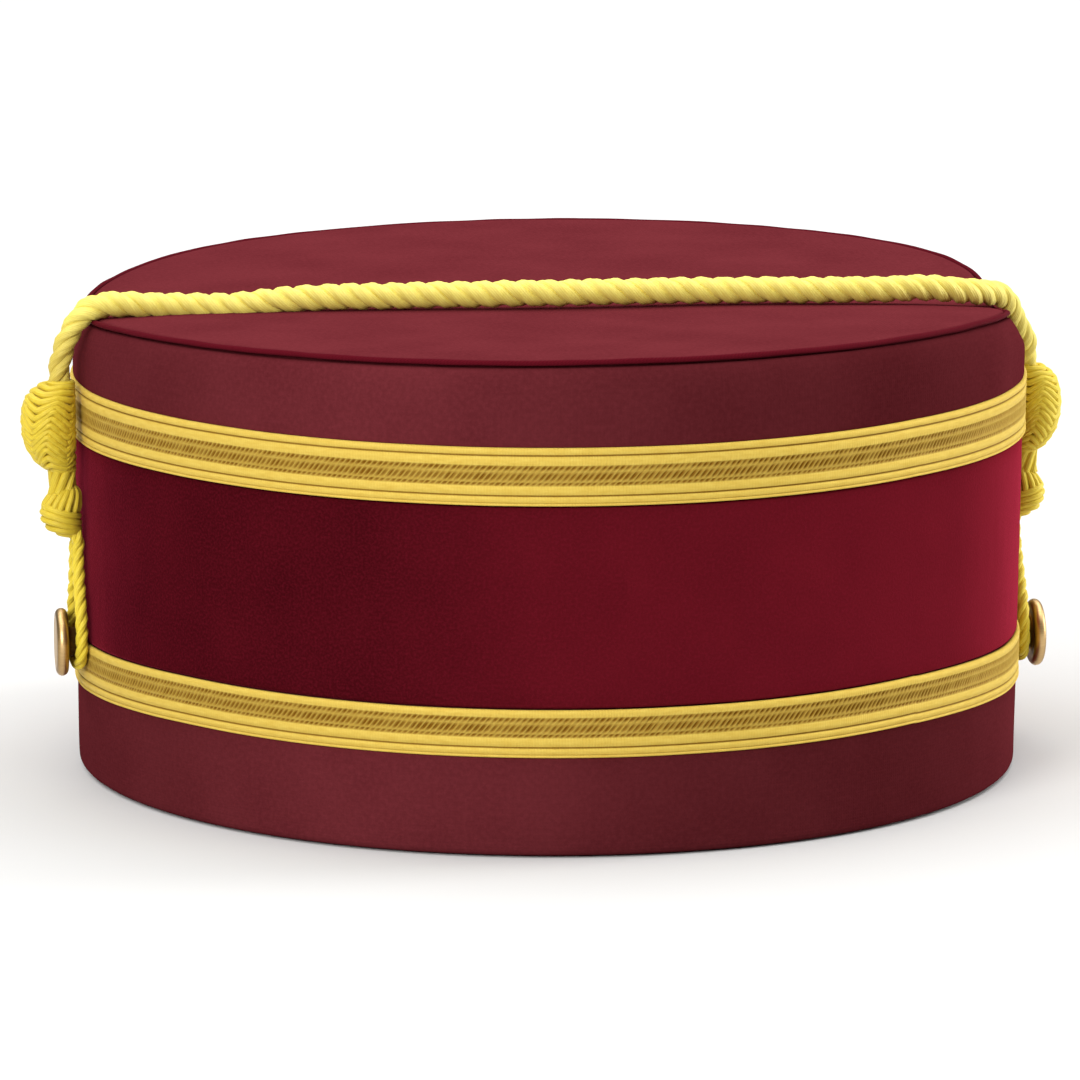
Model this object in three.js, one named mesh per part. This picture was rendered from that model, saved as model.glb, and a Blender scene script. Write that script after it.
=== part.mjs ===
// Lodge crown cap: a stiff oval cap with a velvet band between two gold laces, a piped flat crown,
// and a twisted gold cord that crosses the crown and loops over a button on each side.
// Millimetres, +Z up, the wearer's front towards -Y, origin at the centre of the hem's underside.
import * as THREE from 'three';

// Oval of the cap, measured at the outside of the hem
const hemHalfWidth = 90.2;
const ovalRatio = 1.15;
const ovalSegments = 60;

// Clearance between pieces that touch on the real cap
const gap = 0.3;

// Side wall, upwards from the hem: cloth, lower lace, velvet, upper lace, cloth, rounded shoulder
const lowerClothHeight = 18.8;
const lowerLaceWidth = 8.9;
const velvetHeight = 37.9;
const upperLaceWidth = 10.8;
const upperClothHeight = 4.1;
const shoulderRise = 8.7;
const shoulderTurn = 2.3;
const shoulderSteps = 5;
const wallThickness = 3;
const wallFlare = 1.25;
const hemChamfer = 0.6;

// Seam allowance that the wall turns in under the crown
const seamAllowance = 5.8;
const seamThickness = 2;

// Crown and piping
const crownThickness = 2;
const crownStand = 0.2;
const pipingDiameter = 1.6;
const pipingSides = 8;
const crownRings = [0.5, 0.8];

// The crown's edge has eased down with wear, most at the two sides, and the cord has drawn it in
// under itself on the right. Shares by the turn round the oval, in degrees from the right side.
const crownSag = 3;
const cordPull = 2.6;
const crownEase = [
  { turn: -50, sag: 0, pull: 0 },
  { turn: -35, sag: 0.17, pull: 0 },
  { turn: -22, sag: 0.5, pull: 0.1 },
  { turn: -14, sag: 0.8, pull: 0.25 },
  { turn: -9, sag: 0.95, pull: 0.5 },
  { turn: -5, sag: 1.05, pull: 0.9 },
  { turn: 0, sag: 1, pull: 1 },
  { turn: 4, sag: 0.8, pull: 0.8 },
  { turn: 9, sag: 0.55, pull: 0.35 },
  { turn: 19, sag: 0.31, pull: 0.05 },
  { turn: 30, sag: 0.14, pull: 0 },
  { turn: 45, sag: 0.08, pull: 0 },
  { turn: 60, sag: 0.1, pull: 0 },
  { turn: 90, sag: 0.21, pull: 0 },
  { turn: 110, sag: 0.35, pull: 0 },
  { turn: 129, sag: 0.45, pull: 0 },
  { turn: 141, sag: 0.61, pull: 0 },
  { turn: 153, sag: 0.82, pull: 0 },
  { turn: 167, sag: 1, pull: 0 },
  { turn: 180, sag: 1, pull: 0 },
  { turn: 190, sag: 0.87, pull: 0 },
  { turn: 200, sag: 0.67, pull: 0 },
  { turn: 213, sag: 0.33, pull: 0 },
  { turn: 228, sag: 0.1, pull: 0 },
  { turn: 245, sag: 0, pull: 0 },
  { turn: 310, sag: 0, pull: 0 },
];

// Laces and velvet, which lie in shallow seats in the wall
const laceThickness = 1;
const laceStand = 0.5;
const velvetThickness = 1;
const velvetSink = 0.1;

// Twisted cord over the crown
const cordDiameter = 4.6;
const cordSides = 10;
const cordSteps = 78;

// Sides of the cap. A button stands at a depth from the middle line, and the hand-tied knots hang
// some way behind it. Knots and button each hang higher or lower than the heights further down by
// that side's lift, and the knots are as full as its share of the girths says.
const sides = [
  { name: 'left', facing: -1, depth: -10, knotSlip: 1, knotLift: 0.75, buttonLift: 2.2, fullness: 1 },
  { name: 'right', facing: 1, depth: -2.5, knotSlip: 6, knotLift: -2.65, buttonLift: -3.1, fullness: 0.9 },
];

// Knots on the cord; the slide knot's lower end hangs this far below the upper lace's upper edge
const slideKnotDrop = 17.6;
const slideKnotLength = 17;
const slideKnotGirth = 10.6;
const neckLength = 3.3;
const neckDiameter = 5.6;
const neckSides = 10;
const endKnotLength = 9;
const endKnotGirth = 8.1;
const knotSides = 16;
const knotDepth = 1.1;

// Loop under the end knot, and the button that it goes round, which stands on the lower lace
const loopDiameter = 2.5;
const loopSides = 8;
const loopSteps = 30;
const loopLegSpacing = 3.1;
const loopBend = 5;
const loopBendSteps = 8;
const buttonRise = 5.4;
const buttonDiameter = 13;
const buttonRim = 0.6;
const buttonEdge = 0.25;
const buttonDome = 1.45;
const buttonDomeSteps = 4;
const buttonSides = 24;
const shankDiameter = 5.6;

// Route of the crown cord from the left slide knot to the right one
const crownCordRoute = [
  [-94.95, -9.4, 77.0],
  [-94.93, -9.4, 78.4],
  [-94.75, -9.45, 80.4],
  [-94.35, -9.6, 82.6],
  [-93.6, -9.8, 85.4],
  [-92.35, -10.05, 87.9],
  [-90.82, -10.25, 90.2],
  [-88.7, -10.45, 91.72],
  [-85.9, -10.5, 92.3],
  [-82.9, -10.4, 92.35],
  [-79.0, -10.2, 92.1],
  [-74.5, -10.05, 91.85],
  [-69.9, -10.4, 91.75],
  [-64.5, -11.7, 91.8],
  [-54.0, -14.9, 92.28],
  [-44.0, -17.5, 92.65],
  [-30.0, -20.3, 92.98],
  [-13.0, -22.5, 93.15],
  [4.0, -23.6, 93.17],
  [21.0, -24.3, 93.15],
  [38.7, -25.2, 92.97],
  [53.0, -25.5, 92.65],
  [63.0, -24.3, 92.4],
  [71.0, -22.0, 92.2],
  [77.2, -19.4, 92.05],
  [82.0, -16.4, 91.75],
  [85.6, -13.6, 91.4],
  [88.2, -11.2, 90.7],
  [89.9, -9.3, 89.3],
  [91.0, -7.5, 87.5],
  [92.05, -5.7, 85.6],
  [93.0, -3.95, 83.7],
  [93.75, -2.3, 81.8],
  [94.2, -0.75, 79.9],
  [94.45, 0.6, 78.1],
  [94.6, 1.7, 76.5],
  [94.65, 2.4, 75.2],
  [94.66, 2.75, 74.0],
];

// Outline of each lace from its lower edge to its upper edge: share of the width, share of the stand
const laceOutline = [
  { rise: 0, stand: 0.2 },
  { rise: 0.04, stand: 0.8 },
  { rise: 0.1, stand: 0.35 },
  { rise: 0.16, stand: 0.75 },
  { rise: 0.34, stand: 0.75 },
  { rise: 0.38, stand: 1 },
  { rise: 0.7, stand: 1 },
  { rise: 0.74, stand: 0.7 },
  { rise: 0.88, stand: 0.7 },
  { rise: 0.95, stand: 1 },
  { rise: 1, stand: 0.3 },
];

// Shapes of the two knots from bottom to top: share of the length, share of the girth
const slideKnotShape = [
  { rise: 0, girth: 0.5 },
  { rise: 0.06, girth: 0.66 },
  { rise: 0.2, girth: 0.86 },
  { rise: 0.4, girth: 0.98 },
  { rise: 0.62, girth: 1 },
  { rise: 0.8, girth: 0.93 },
  { rise: 0.92, girth: 0.76 },
  { rise: 1, girth: 0.5 },
];
const endKnotShape = [
  { rise: 0, girth: 0.42 },
  { rise: 0.1, girth: 0.74 },
  { rise: 0.3, girth: 0.96 },
  { rise: 0.5, girth: 1 },
  { rise: 0.75, girth: 0.9 },
  { rise: 1, girth: 0.7 },
];

// Course of a loop's leg, from the end knot down to the bend round the button's shank: share of
// the fall, share of the way apart, and share of the knot's slip that is left
const loopLegCourse = [
  { fall: 0, spread: 0, slip: 1 },
  { fall: 0.12, spread: 0, slip: 1 },
  { fall: 0.42, spread: 0.3, slip: 0.6 },
  { fall: 0.75, spread: 0.85, slip: 0.12 },
];

const materials = {
  cloth: new THREE.MeshStandardMaterial({ color: 0x6e2129, roughness: 0.85 }),
  piping: new THREE.MeshStandardMaterial({ color: 0x7c1a26, roughness: 0.8 }),
  velvet: new THREE.MeshStandardMaterial({ color: 0x5c0a19, roughness: 1 }),
  lace: new THREE.MeshStandardMaterial({ color: 0xd9b44a, roughness: 0.45, metalness: 0.5 }),
  cord: new THREE.MeshStandardMaterial({ color: 0xdccb45, roughness: 0.7 }),
  brass: new THREE.MeshStandardMaterial({ color: 0xb8925a, roughness: 0.35, metalness: 1 }),
};

// Heights over the hem, and how far faces lie outside the hem's oval
const hemHalfLength = hemHalfWidth * ovalRatio;
const lowerLaceBottom = lowerClothHeight;
const lowerLaceTop = lowerLaceBottom + lowerLaceWidth;
const upperLaceBottom = lowerLaceTop + velvetHeight;
const upperLaceTop = upperLaceBottom + upperLaceWidth;
const shoulderBottom = upperLaceTop + upperClothHeight;
const shoulderTop = shoulderBottom + shoulderRise;
const pipingOutside = wallFlare - shoulderTurn;
const pipingHeight = shoulderTop + gap + pipingDiameter / 2;
const crownOutside = pipingOutside - pipingDiameter / 2 - gap;
const crownTop = pipingHeight + crownStand;
const crownUnderside = crownTop - crownThickness;
const seamTop = crownUnderside - gap;
const seamUnderside = seamTop - seamThickness;
const laceSeat = laceThickness - laceStand + gap;
const velvetSeat = velvetThickness + velvetSink + gap;

const wallFace = (height) => wallFlare * Math.min(height / shoulderBottom, 1);
const laceFront = (height) => wallFace(height) + laceStand + gap;
const velvetFront = (height) => wallFace(height) - velvetSink + gap;

const slideKnotBottom = upperLaceTop - slideKnotDrop;
const neckBottom = slideKnotBottom - gap - neckLength;
const endKnotTop = neckBottom - gap;
const endKnotBottom = endKnotTop - endKnotLength;
const slideKnotInner = laceFront(upperLaceTop);
const endKnotInner = velvetFront(endKnotTop);
const buttonHeight = lowerLaceBottom + buttonRise;
const pullBottom = shoulderBottom + shoulderRise / 2;
const loopOverLace = laceFront(lowerLaceTop) + loopDiameter / 2;
const loopOverVelvet = velvetFront(endKnotBottom) + loopDiameter / 2;

const cap = new THREE.Group();

function addPiece(parent, name, geometry, material) {
  const mesh = new THREE.Mesh(geometry, material);
  mesh.name = name;
  parent.add(mesh);
}

// Point of the hem's outer oval at an angle, and the direction straight out of the wall there
function ovalPoint(angle) {
  const across = Math.cos(angle);
  const along = Math.sin(angle);
  return {
    point: new THREE.Vector2(hemHalfWidth * across, hemHalfLength * along),
    outward: new THREE.Vector2(hemHalfLength * across, hemHalfWidth * along).normalize(),
  };
}

// How much a place on the crown's edge has eased down and been drawn in, as shares
function easeAt(angle) {
  const first = crownEase[0];
  const turn = first.turn + THREE.MathUtils.euclideanModulo(THREE.MathUtils.radToDeg(angle) - first.turn, 360);
  const rounded = [...crownEase, { ...first, turn: first.turn + 360 }];
  const next = rounded.findIndex((row, i) => i > 0 && turn <= row.turn);
  const from = rounded[next - 1];
  const to = rounded[next];
  const way = (turn - from.turn) / (to.turn - from.turn);
  return {
    sag: THREE.MathUtils.lerp(from.sag, to.sag, way),
    pull: THREE.MathUtils.lerp(from.pull, to.pull, way),
  };
}

// Turns a profile and draws the round out to the oval, with every wall as thick as in the profile,
// and eases it down and in above the upper lace. Points on the middle axis stay there.
function turnOval(profile) {
  const geometry = new THREE.LatheGeometry(profile, ovalSegments);
  geometry.rotateX(Math.PI / 2);
  const places = geometry.getAttribute('position');
  for (let i = 0; i < places.count; i += 1) {
    const across = places.getX(i);
    const along = places.getY(i);
    const radius = Math.hypot(across, along);
    if (radius > Number.EPSILON) {
      const angle = Math.atan2(along, across);
      const height = places.getZ(i);
      const { sag, pull } = easeAt(angle);
      const { point, outward } = ovalPoint(angle);
      point.addScaledVector(outward, radius - hemHalfWidth);
      const reach = Math.min(Math.hypot(point.x / hemHalfWidth, point.y / hemHalfLength), 1) ** 2;
      const down = crownSag * sag * reach * THREE.MathUtils.smoothstep(height, upperLaceTop, seamUnderside);
      const inward = cordPull * pull * reach * THREE.MathUtils.smoothstep(height, pullBottom, pipingHeight);
      point.addScaledVector(outward, -inward);
      places.setXYZ(i, point.x, point.y, height - down);
    }
  }
  return geometry;
}

// Band round the cap. A section point is how far it lies outside the hem's oval, and its height.
function ovalBand(section) {
  const profile = section.map(([outside, height]) => new THREE.Vector2(hemHalfWidth + outside, height));
  profile.push(profile[0].clone());
  return turnOval(profile);
}

function ovalDisc(outside, underside, top) {
  const radii = [0, ...crownRings, 1].map((share) => (hemHalfWidth + outside) * share);
  return turnOval([
    ...radii.map((radius) => new THREE.Vector2(radius, underside)),
    ...radii.reverse().map((radius) => new THREE.Vector2(radius, top)),
  ]);
}

// Closed tube along a smooth line through the points
function tube(points, diameter, tubeSides, steps) {
  const round = [];
  for (let i = 0; i < tubeSides; i += 1) {
    const angle = (2 * Math.PI * i) / tubeSides;
    round.push(new THREE.Vector2(Math.cos(angle), Math.sin(angle)).multiplyScalar(diameter / 2));
  }
  const line = new THREE.CatmullRomCurve3(points, false, 'centripetal');
  return new THREE.ExtrudeGeometry(new THREE.Shape(round), { steps, extrudePath: line });
}

// Wall section, up the outside from the hem, in under the crown, and down the inside
function wallSection() {
  const inside = (height) => wallFace(height) - wallThickness;
  const section = [
    [hemChamfer - wallThickness, 0],
    [-hemChamfer, 0],
    [wallFace(hemChamfer), hemChamfer],
  ];
  const ledges = [
    { height: lowerLaceBottom - gap, below: 0, above: laceSeat },
    { height: lowerLaceTop + gap / 2, below: laceSeat, above: velvetSeat },
    { height: upperLaceBottom - gap / 2, below: velvetSeat, above: laceSeat },
    { height: upperLaceTop + gap, below: laceSeat, above: 0 },
  ];
  for (const { height, below, above } of ledges) {
    section.push([wallFace(height) - below, height]);
    section.push([wallFace(height) - above, height]);
  }
  for (let i = 0; i <= shoulderSteps; i += 1) {
    const angle = (Math.PI / 2) * (i / shoulderSteps);
    section.push([
      pipingOutside + shoulderTurn * Math.cos(angle),
      shoulderBottom + shoulderRise * Math.sin(angle),
    ]);
  }
  section.push([pipingOutside - pipingDiameter / 2, seamTop]);
  section.push([crownOutside - seamAllowance, seamTop]);
  section.push([crownOutside - seamAllowance, seamUnderside]);
  section.push([pipingOutside - wallThickness, seamUnderside]);
  section.push([inside(shoulderBottom), shoulderBottom]);
  section.push([inside(hemChamfer), hemChamfer]);
  return section;
}

function velvetSection() {
  const bottom = lowerLaceTop + gap;
  const top = upperLaceBottom - gap;
  const front = (height) => wallFace(height) - velvetSink;
  return [
    [front(bottom) - velvetThickness, bottom],
    [front(bottom), bottom],
    [front(top), top],
    [front(top) - velvetThickness, top],
  ];
}

function laceSection(bottom, width) {
  const back = (height) => wallFace(height) + laceStand - laceThickness;
  const section = [[back(bottom), bottom]];
  for (const { rise, stand } of laceOutline) {
    const height = bottom + width * rise;
    section.push([wallFace(height) + laceStand * stand, height]);
  }
  section.push([back(bottom + width), bottom + width]);
  return section;
}

function pipingSection() {
  const section = [];
  for (let i = 0; i < pipingSides; i += 1) {
    const angle = (2 * Math.PI * i) / pipingSides;
    section.push([
      pipingOutside + (pipingDiameter / 2) * Math.cos(angle),
      pipingHeight + (pipingDiameter / 2) * Math.sin(angle),
    ]);
  }
  return section;
}

// A knot whose rings all touch one upright line against the cap, so that it bulges outward only.
// In a side's group x points out of the wall, y along it and z up.
function knot(shape, bottom, length, girth, innerSide, place) {
  const rings = shape.map(({ rise, girth: share }) => (
    new THREE.Vector2((girth / 2) * share, bottom + length * rise)
  ));
  const profile = [new THREE.Vector2(0, bottom), ...rings, new THREE.Vector2(0, bottom + length)];
  const leans = [rings[0].x, ...rings.map((ring) => ring.x), rings[rings.length - 1].x];
  const geometry = new THREE.LatheGeometry(profile, knotSides);
  geometry.rotateX(Math.PI / 2);
  geometry.scale(1, knotDepth, 1);
  const places = geometry.getAttribute('position');
  for (let i = 0; i < places.count; i += 1) {
    places.setX(i, places.getX(i) + innerSide + leans[i % profile.length]);
    places.setY(i, places.getY(i) + place);
  }
  return geometry;
}

function neck(bottom, diameter, place) {
  const geometry = new THREE.CylinderGeometry(diameter / 2, diameter / 2, neckLength, neckSides);
  geometry.rotateX(Math.PI / 2);
  geometry.translate(slideKnotInner + diameter / 2, place, bottom + neckLength / 2);
  return geometry;
}

// The loop leaves the end knot as two legs beside each other, which part round the button's shank
// and meet beneath it.
function loopPoints(knotBottom, knotPlace, height) {
  const top = knotBottom - gap;
  const bendCentre = height - shankDiameter / 2 - gap - loopDiameter / 2 + loopBend;
  const leg = (hand) => loopLegCourse.map(({ fall, spread, slip }) => new THREE.Vector3(
    THREE.MathUtils.lerp(loopOverVelvet, loopOverLace, fall),
    knotPlace * slip + hand * THREE.MathUtils.lerp(loopLegSpacing / 2, loopBend, spread),
    THREE.MathUtils.lerp(top, bendCentre, fall),
  ));
  const bend = [];
  for (let i = 0; i <= loopBendSteps; i += 1) {
    const angle = (Math.PI * i) / loopBendSteps;
    bend.push(new THREE.Vector3(
      loopOverLace,
      loopBend * Math.cos(angle),
      bendCentre - loopBend * Math.sin(angle),
    ));
  }
  return [...leg(1), ...bend, ...leg(-1).reverse()];
}

// Domed head on a plain shank that stands on the lower lace. The profile runs outward from the
// wall, and the button is laid on its side so that its axis points out of the cap.
function button(height) {
  const foot = laceFront(height);
  const headBack = loopOverLace + loopDiameter / 2 + gap;
  const headRadius = buttonDiameter / 2;
  const domeBase = headBack + buttonRim + buttonEdge;
  const profile = [
    new THREE.Vector2(0, foot),
    new THREE.Vector2(shankDiameter / 2, foot),
    new THREE.Vector2(shankDiameter / 2, headBack),
    new THREE.Vector2(headRadius - buttonRim, headBack),
    new THREE.Vector2(headRadius, headBack + buttonRim),
  ];
  for (let i = 0; i < buttonDomeSteps; i += 1) {
    const angle = (Math.PI / 2) * (i / buttonDomeSteps);
    profile.push(new THREE.Vector2(
      headRadius * Math.cos(angle),
      domeBase + buttonDome * Math.sin(angle),
    ));
  }
  profile.push(new THREE.Vector2(0, domeBase + buttonDome));
  const geometry = new THREE.LatheGeometry(profile, buttonSides);
  geometry.rotateZ(-Math.PI / 2);
  geometry.translate(0, 0, height);
  return geometry;
}

// Knots, neck, loop and button of one side, in a group that stands at the wall and faces out of it
function addSide({ name, facing, depth, knotSlip, knotLift, buttonLift, fullness }) {
  const turn = Math.asin(depth / hemHalfLength);
  const { point, outward } = ovalPoint(facing > 0 ? turn : Math.PI - turn);
  const side = new THREE.Group();
  side.position.set(point.x, point.y, 0);
  side.rotation.z = Math.atan2(outward.y, outward.x);
  cap.add(side);
  const place = facing * knotSlip;
  const height = buttonHeight + buttonLift;
  const knotBottom = endKnotBottom + knotLift;
  const slideKnot = knot(
    slideKnotShape,
    slideKnotBottom + knotLift,
    slideKnotLength,
    slideKnotGirth * fullness,
    slideKnotInner,
    place,
  );
  const endKnot = knot(
    endKnotShape,
    knotBottom,
    endKnotLength,
    endKnotGirth * fullness,
    endKnotInner,
    place,
  );
  const neckCord = neck(neckBottom + knotLift, neckDiameter * fullness, place);
  const loop = tube(loopPoints(knotBottom, place, height), loopDiameter, loopSides, loopSteps);
  addPiece(side, `${name}_slide_knot`, slideKnot, materials.cord);
  addPiece(side, `${name}_neck_cord`, neckCord, materials.cord);
  addPiece(side, `${name}_end_knot`, endKnot, materials.cord);
  addPiece(side, `${name}_button_loop`, loop, materials.cord);
  addPiece(side, `${name}_button`, button(height), materials.brass);
}

const cordPoints = crownCordRoute.map((place) => new THREE.Vector3(...place));
addPiece(cap, 'side_wall', ovalBand(wallSection()), materials.cloth);
addPiece(cap, 'crown_top', ovalDisc(crownOutside, crownUnderside, crownTop), materials.cloth);
addPiece(cap, 'crown_piping', ovalBand(pipingSection()), materials.piping);
addPiece(cap, 'velvet_band', ovalBand(velvetSection()), materials.velvet);
addPiece(cap, 'lower_lace', ovalBand(laceSection(lowerLaceBottom, lowerLaceWidth)), materials.lace);
addPiece(cap, 'upper_lace', ovalBand(laceSection(upperLaceBottom, upperLaceWidth)), materials.lace);
addPiece(cap, 'crown_cord', tube(cordPoints, cordDiameter, cordSides, cordSteps), materials.cord);
for (const side of sides) {
  addSide(side);
}

export default cap;
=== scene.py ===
# Lodge crown cap: cloth, velvet, gold lace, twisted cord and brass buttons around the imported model.
# Sizes in the tables are millimetres, as a hat maker gives them; the scene is in metres.
import math
import random

import bpy
import numpy as np
from mathutils import Matrix, Vector


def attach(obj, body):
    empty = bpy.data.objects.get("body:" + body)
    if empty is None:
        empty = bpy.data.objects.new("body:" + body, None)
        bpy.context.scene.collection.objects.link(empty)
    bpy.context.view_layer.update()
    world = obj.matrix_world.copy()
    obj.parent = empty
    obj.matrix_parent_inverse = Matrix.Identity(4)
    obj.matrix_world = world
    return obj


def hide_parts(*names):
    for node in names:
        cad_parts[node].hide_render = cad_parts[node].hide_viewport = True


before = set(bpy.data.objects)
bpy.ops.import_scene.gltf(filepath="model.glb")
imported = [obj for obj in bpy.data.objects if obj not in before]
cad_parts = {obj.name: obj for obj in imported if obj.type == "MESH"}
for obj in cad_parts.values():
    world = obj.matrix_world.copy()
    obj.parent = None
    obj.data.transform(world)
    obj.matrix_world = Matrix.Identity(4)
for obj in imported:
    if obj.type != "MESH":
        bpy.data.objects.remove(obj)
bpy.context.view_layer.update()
print("frame loaded:", len(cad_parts), "nodes")

mm = 0.001
dice = random.Random(59)
grain = np.random.default_rng(59)

# Oval of the cap at the outside of the hem, and the wall's main heights
cap = {
    "halfWidth": 90.2,
    "ratio": 1.15,
    "flare": 1.25,
    "wallThickness": 3.0,
    "lowerLaceBottom": 18.8,
    "lowerLaceTop": 27.7,
    "upperLaceBottom": 65.6,
    "upperLaceTop": 76.4,
    "shoulderBottom": 80.5,
    "shoulderRise": 8.7,
    "shoulderTurn": 2.3,
    "seamTop": 88.2,
    "seamUnderside": 86.2,
    "seamAllowance": 5.8,
    "crownOutside": -2.15,
    "crownUnderside": 88.5,
    "crownTop": 90.5,
    "pipingOutside": -1.05,
    "pipingHeight": 90.3,
}
halfLength = cap["halfWidth"] * cap["ratio"]


# Length run along a line of points, from its first one
def runAlong(points):
    return np.concatenate([[0.0], np.cumsum(np.linalg.norm(np.diff(points, axis=0), axis=1))])


def unit(vectors):
    return vectors / np.maximum(np.linalg.norm(vectors, axis=-1, keepdims=True), 1e-9)


def evenTurns(count):
    return np.arange(count) * 2 * np.pi / count


def bell(away, width):
    return np.exp(-(away / width) ** 2)


def risesTo(value, low, high):
    way = np.clip((value - low) / (high - low), 0, 1)
    return way * way * (3 - 2 * way)


# Arc length round the hem, from the middle of the front over the right side
ovalTurns = np.linspace(-0.5 * np.pi, 1.5 * np.pi, 14401)
ovalArcs = runAlong(np.stack([cap["halfWidth"] * np.cos(ovalTurns), halfLength * np.sin(ovalTurns)], -1))
ovalLength = ovalArcs[-1]


def ovalAt(arcs):
    turns = np.interp(np.mod(arcs, ovalLength), ovalArcs, ovalTurns)
    across, along = np.cos(turns), np.sin(turns)
    point = np.stack([cap["halfWidth"] * across, halfLength * along], -1)
    return point, unit(np.stack([halfLength * across, cap["halfWidth"] * along], -1))


def evenArcs(count):
    return np.arange(count) * ovalLength / count


def turnsAt(arcs):
    return 2 * np.pi * arcs / ovalLength


# Wear has eased the crown's edge down, most at the two sides, and the cord has drawn it in under
# itself on the right: turn round the oval in degrees from the right side, share down, share inward
ease = {
    "down": 3.0,
    "inward": 2.6,
    "inwardBottom": 84.85,
    "firstTurn": -50,
    "blurReach": 9,
    "blurWidth": 3.0,
    "shares": [
        (-50, -0.33, 0), (-35, -0.08, 0), (-22, 0.4, 0.1), (-14, 0.8, 0.25), (-9, 0.95, 0.5), (-5, 1.05, 0.9),
        (0, 1, 1), (4, 0.75, 0.8), (9, 0.4, 0.35), (19, 0.02, 0.05), (30, -0.14, 0), (45, -0.16, 0),
        (60, -0.12, 0), (90, -0.02, 0), (110, 0.1, 0), (129, 0.2, 0), (141, 0.38, 0), (153, 0.64, 0),
        (167, 0.9, 0), (180, 0.93, 0), (190, 0.58, 0), (200, 0.22, 0), (213, -0.04, 0), (228, -0.24, 0),
        (245, -0.38, 0), (270, -0.5, 0), (292, -0.47, 0), (310, -0.33, 0),
    ],
    # The cord's tight turn over the right shoulder has dented it further
    "dentTurn": -7.0,
    "dentSpread": 8.0,
    "dentDown": 1.0,
    "dentDownHeights": (80.0, 88.0),
    "dentInward": 1.5,
    "dentInwardHeights": (82.0, 90.3),
    # The cap leans a hair to the right, and its cloth and laces hang a little low at the sides:
    # height, droop at the sides, droop all round
    "lean": 0.011,
    "leanHeight": 42.0,
    "droopTurns": (-9.0, 172.0),
    "droopSpread": 48.0,
    "droops": [
        (0, 0, 0), (18.8, 1.9, 0.3), (27.7, 1.8, 0.3), (65.6, 0.9, 0.3), (76.4, 0.75, 0.3), (81, 0, 0),
    ],
}
easeTurns = np.arange(ease["firstTurn"], ease["firstTurn"] + 361)


# One column of the shares for every degree round the oval, with the table's corners blurred
def easeShares(column):
    table = np.array(ease["shares"], float)
    shares = np.interp(easeTurns, table[:, 0], table[:, column])
    reach = ease["blurReach"]
    wide = np.concatenate([shares[-reach - 1:-1], shares, shares[1:reach + 1]])
    blur = bell(np.arange(-reach, reach + 1), ease["blurWidth"])
    return np.convolve(wide, blur / blur.sum(), "valid")


easeDown, easeInward = easeShares(1), easeShares(2)
easeDroops = np.array(ease["droops"], float)


# Moves places on the cap's cloth and laces from their true form to the worn one
def wornForm(points):
    across, along, height = points[..., 0], points[..., 1], points[..., 2]
    turns = np.arctan2(along / halfLength, across / cap["halfWidth"])
    degrees = np.mod(np.degrees(turns) - ease["firstTurn"], 360) + ease["firstTurn"]
    reach = np.minimum(np.hypot(across / cap["halfWidth"], along / halfLength), 1) ** 2
    down = ease["down"] * np.interp(degrees, easeTurns, easeDown) * reach
    down = down * risesTo(height, cap["upperLaceTop"], cap["seamUnderside"])
    inward = ease["inward"] * np.interp(degrees, easeTurns, easeInward) * reach
    inward = inward * risesTo(height, ease["inwardBottom"], cap["pipingHeight"])
    dent = bell(degrees - ease["dentTurn"], ease["dentSpread"]) * reach
    down = down + ease["dentDown"] * dent * risesTo(height, *ease["dentDownHeights"])
    inward = inward + ease["dentInward"] * dent * risesTo(height, *ease["dentInwardHeights"])
    right, left = ease["droopTurns"]
    side = np.minimum(np.abs(degrees - right), np.abs(degrees - left)) / ease["droopSpread"]
    nearSide = np.cos(np.clip(side, 0, 1) * np.pi / 2) ** 2
    down = down + nearSide * np.interp(height, easeDroops[:, 0], easeDroops[:, 1])
    down = down + np.interp(height, easeDroops[:, 0], easeDroops[:, 2])
    outward = unit(np.stack([halfLength * np.cos(turns), cap["halfWidth"] * np.sin(turns)], -1))
    lean = ease["lean"] * (np.minimum(height, cap["shoulderBottom"]) - ease["leanHeight"])
    flat = points[..., :2] - outward * inward[..., None]
    return np.stack([flat[..., 0] + lean, flat[..., 1], height - down], -1)


# Points of a band: their places round the hem's oval, how far outside it they lie, and their heights
def roundTheCap(places, outside, heights):
    point, outward = ovalAt(places)
    flat = point + outward * outside[..., None]
    return wornForm(np.concatenate([flat, np.broadcast_to(heights, outside.shape)[..., None]], -1))


def wallFace(height):
    return cap["flare"] * np.minimum(height / cap["shoulderBottom"], 1)


def arcPoints(centre, radii, start, end, steps):
    turns = np.radians(np.linspace(start, end, steps))
    return [(centre[0] + radii[0] * math.cos(t), centre[1] + radii[1] * math.sin(t)) for t in turns]


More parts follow.
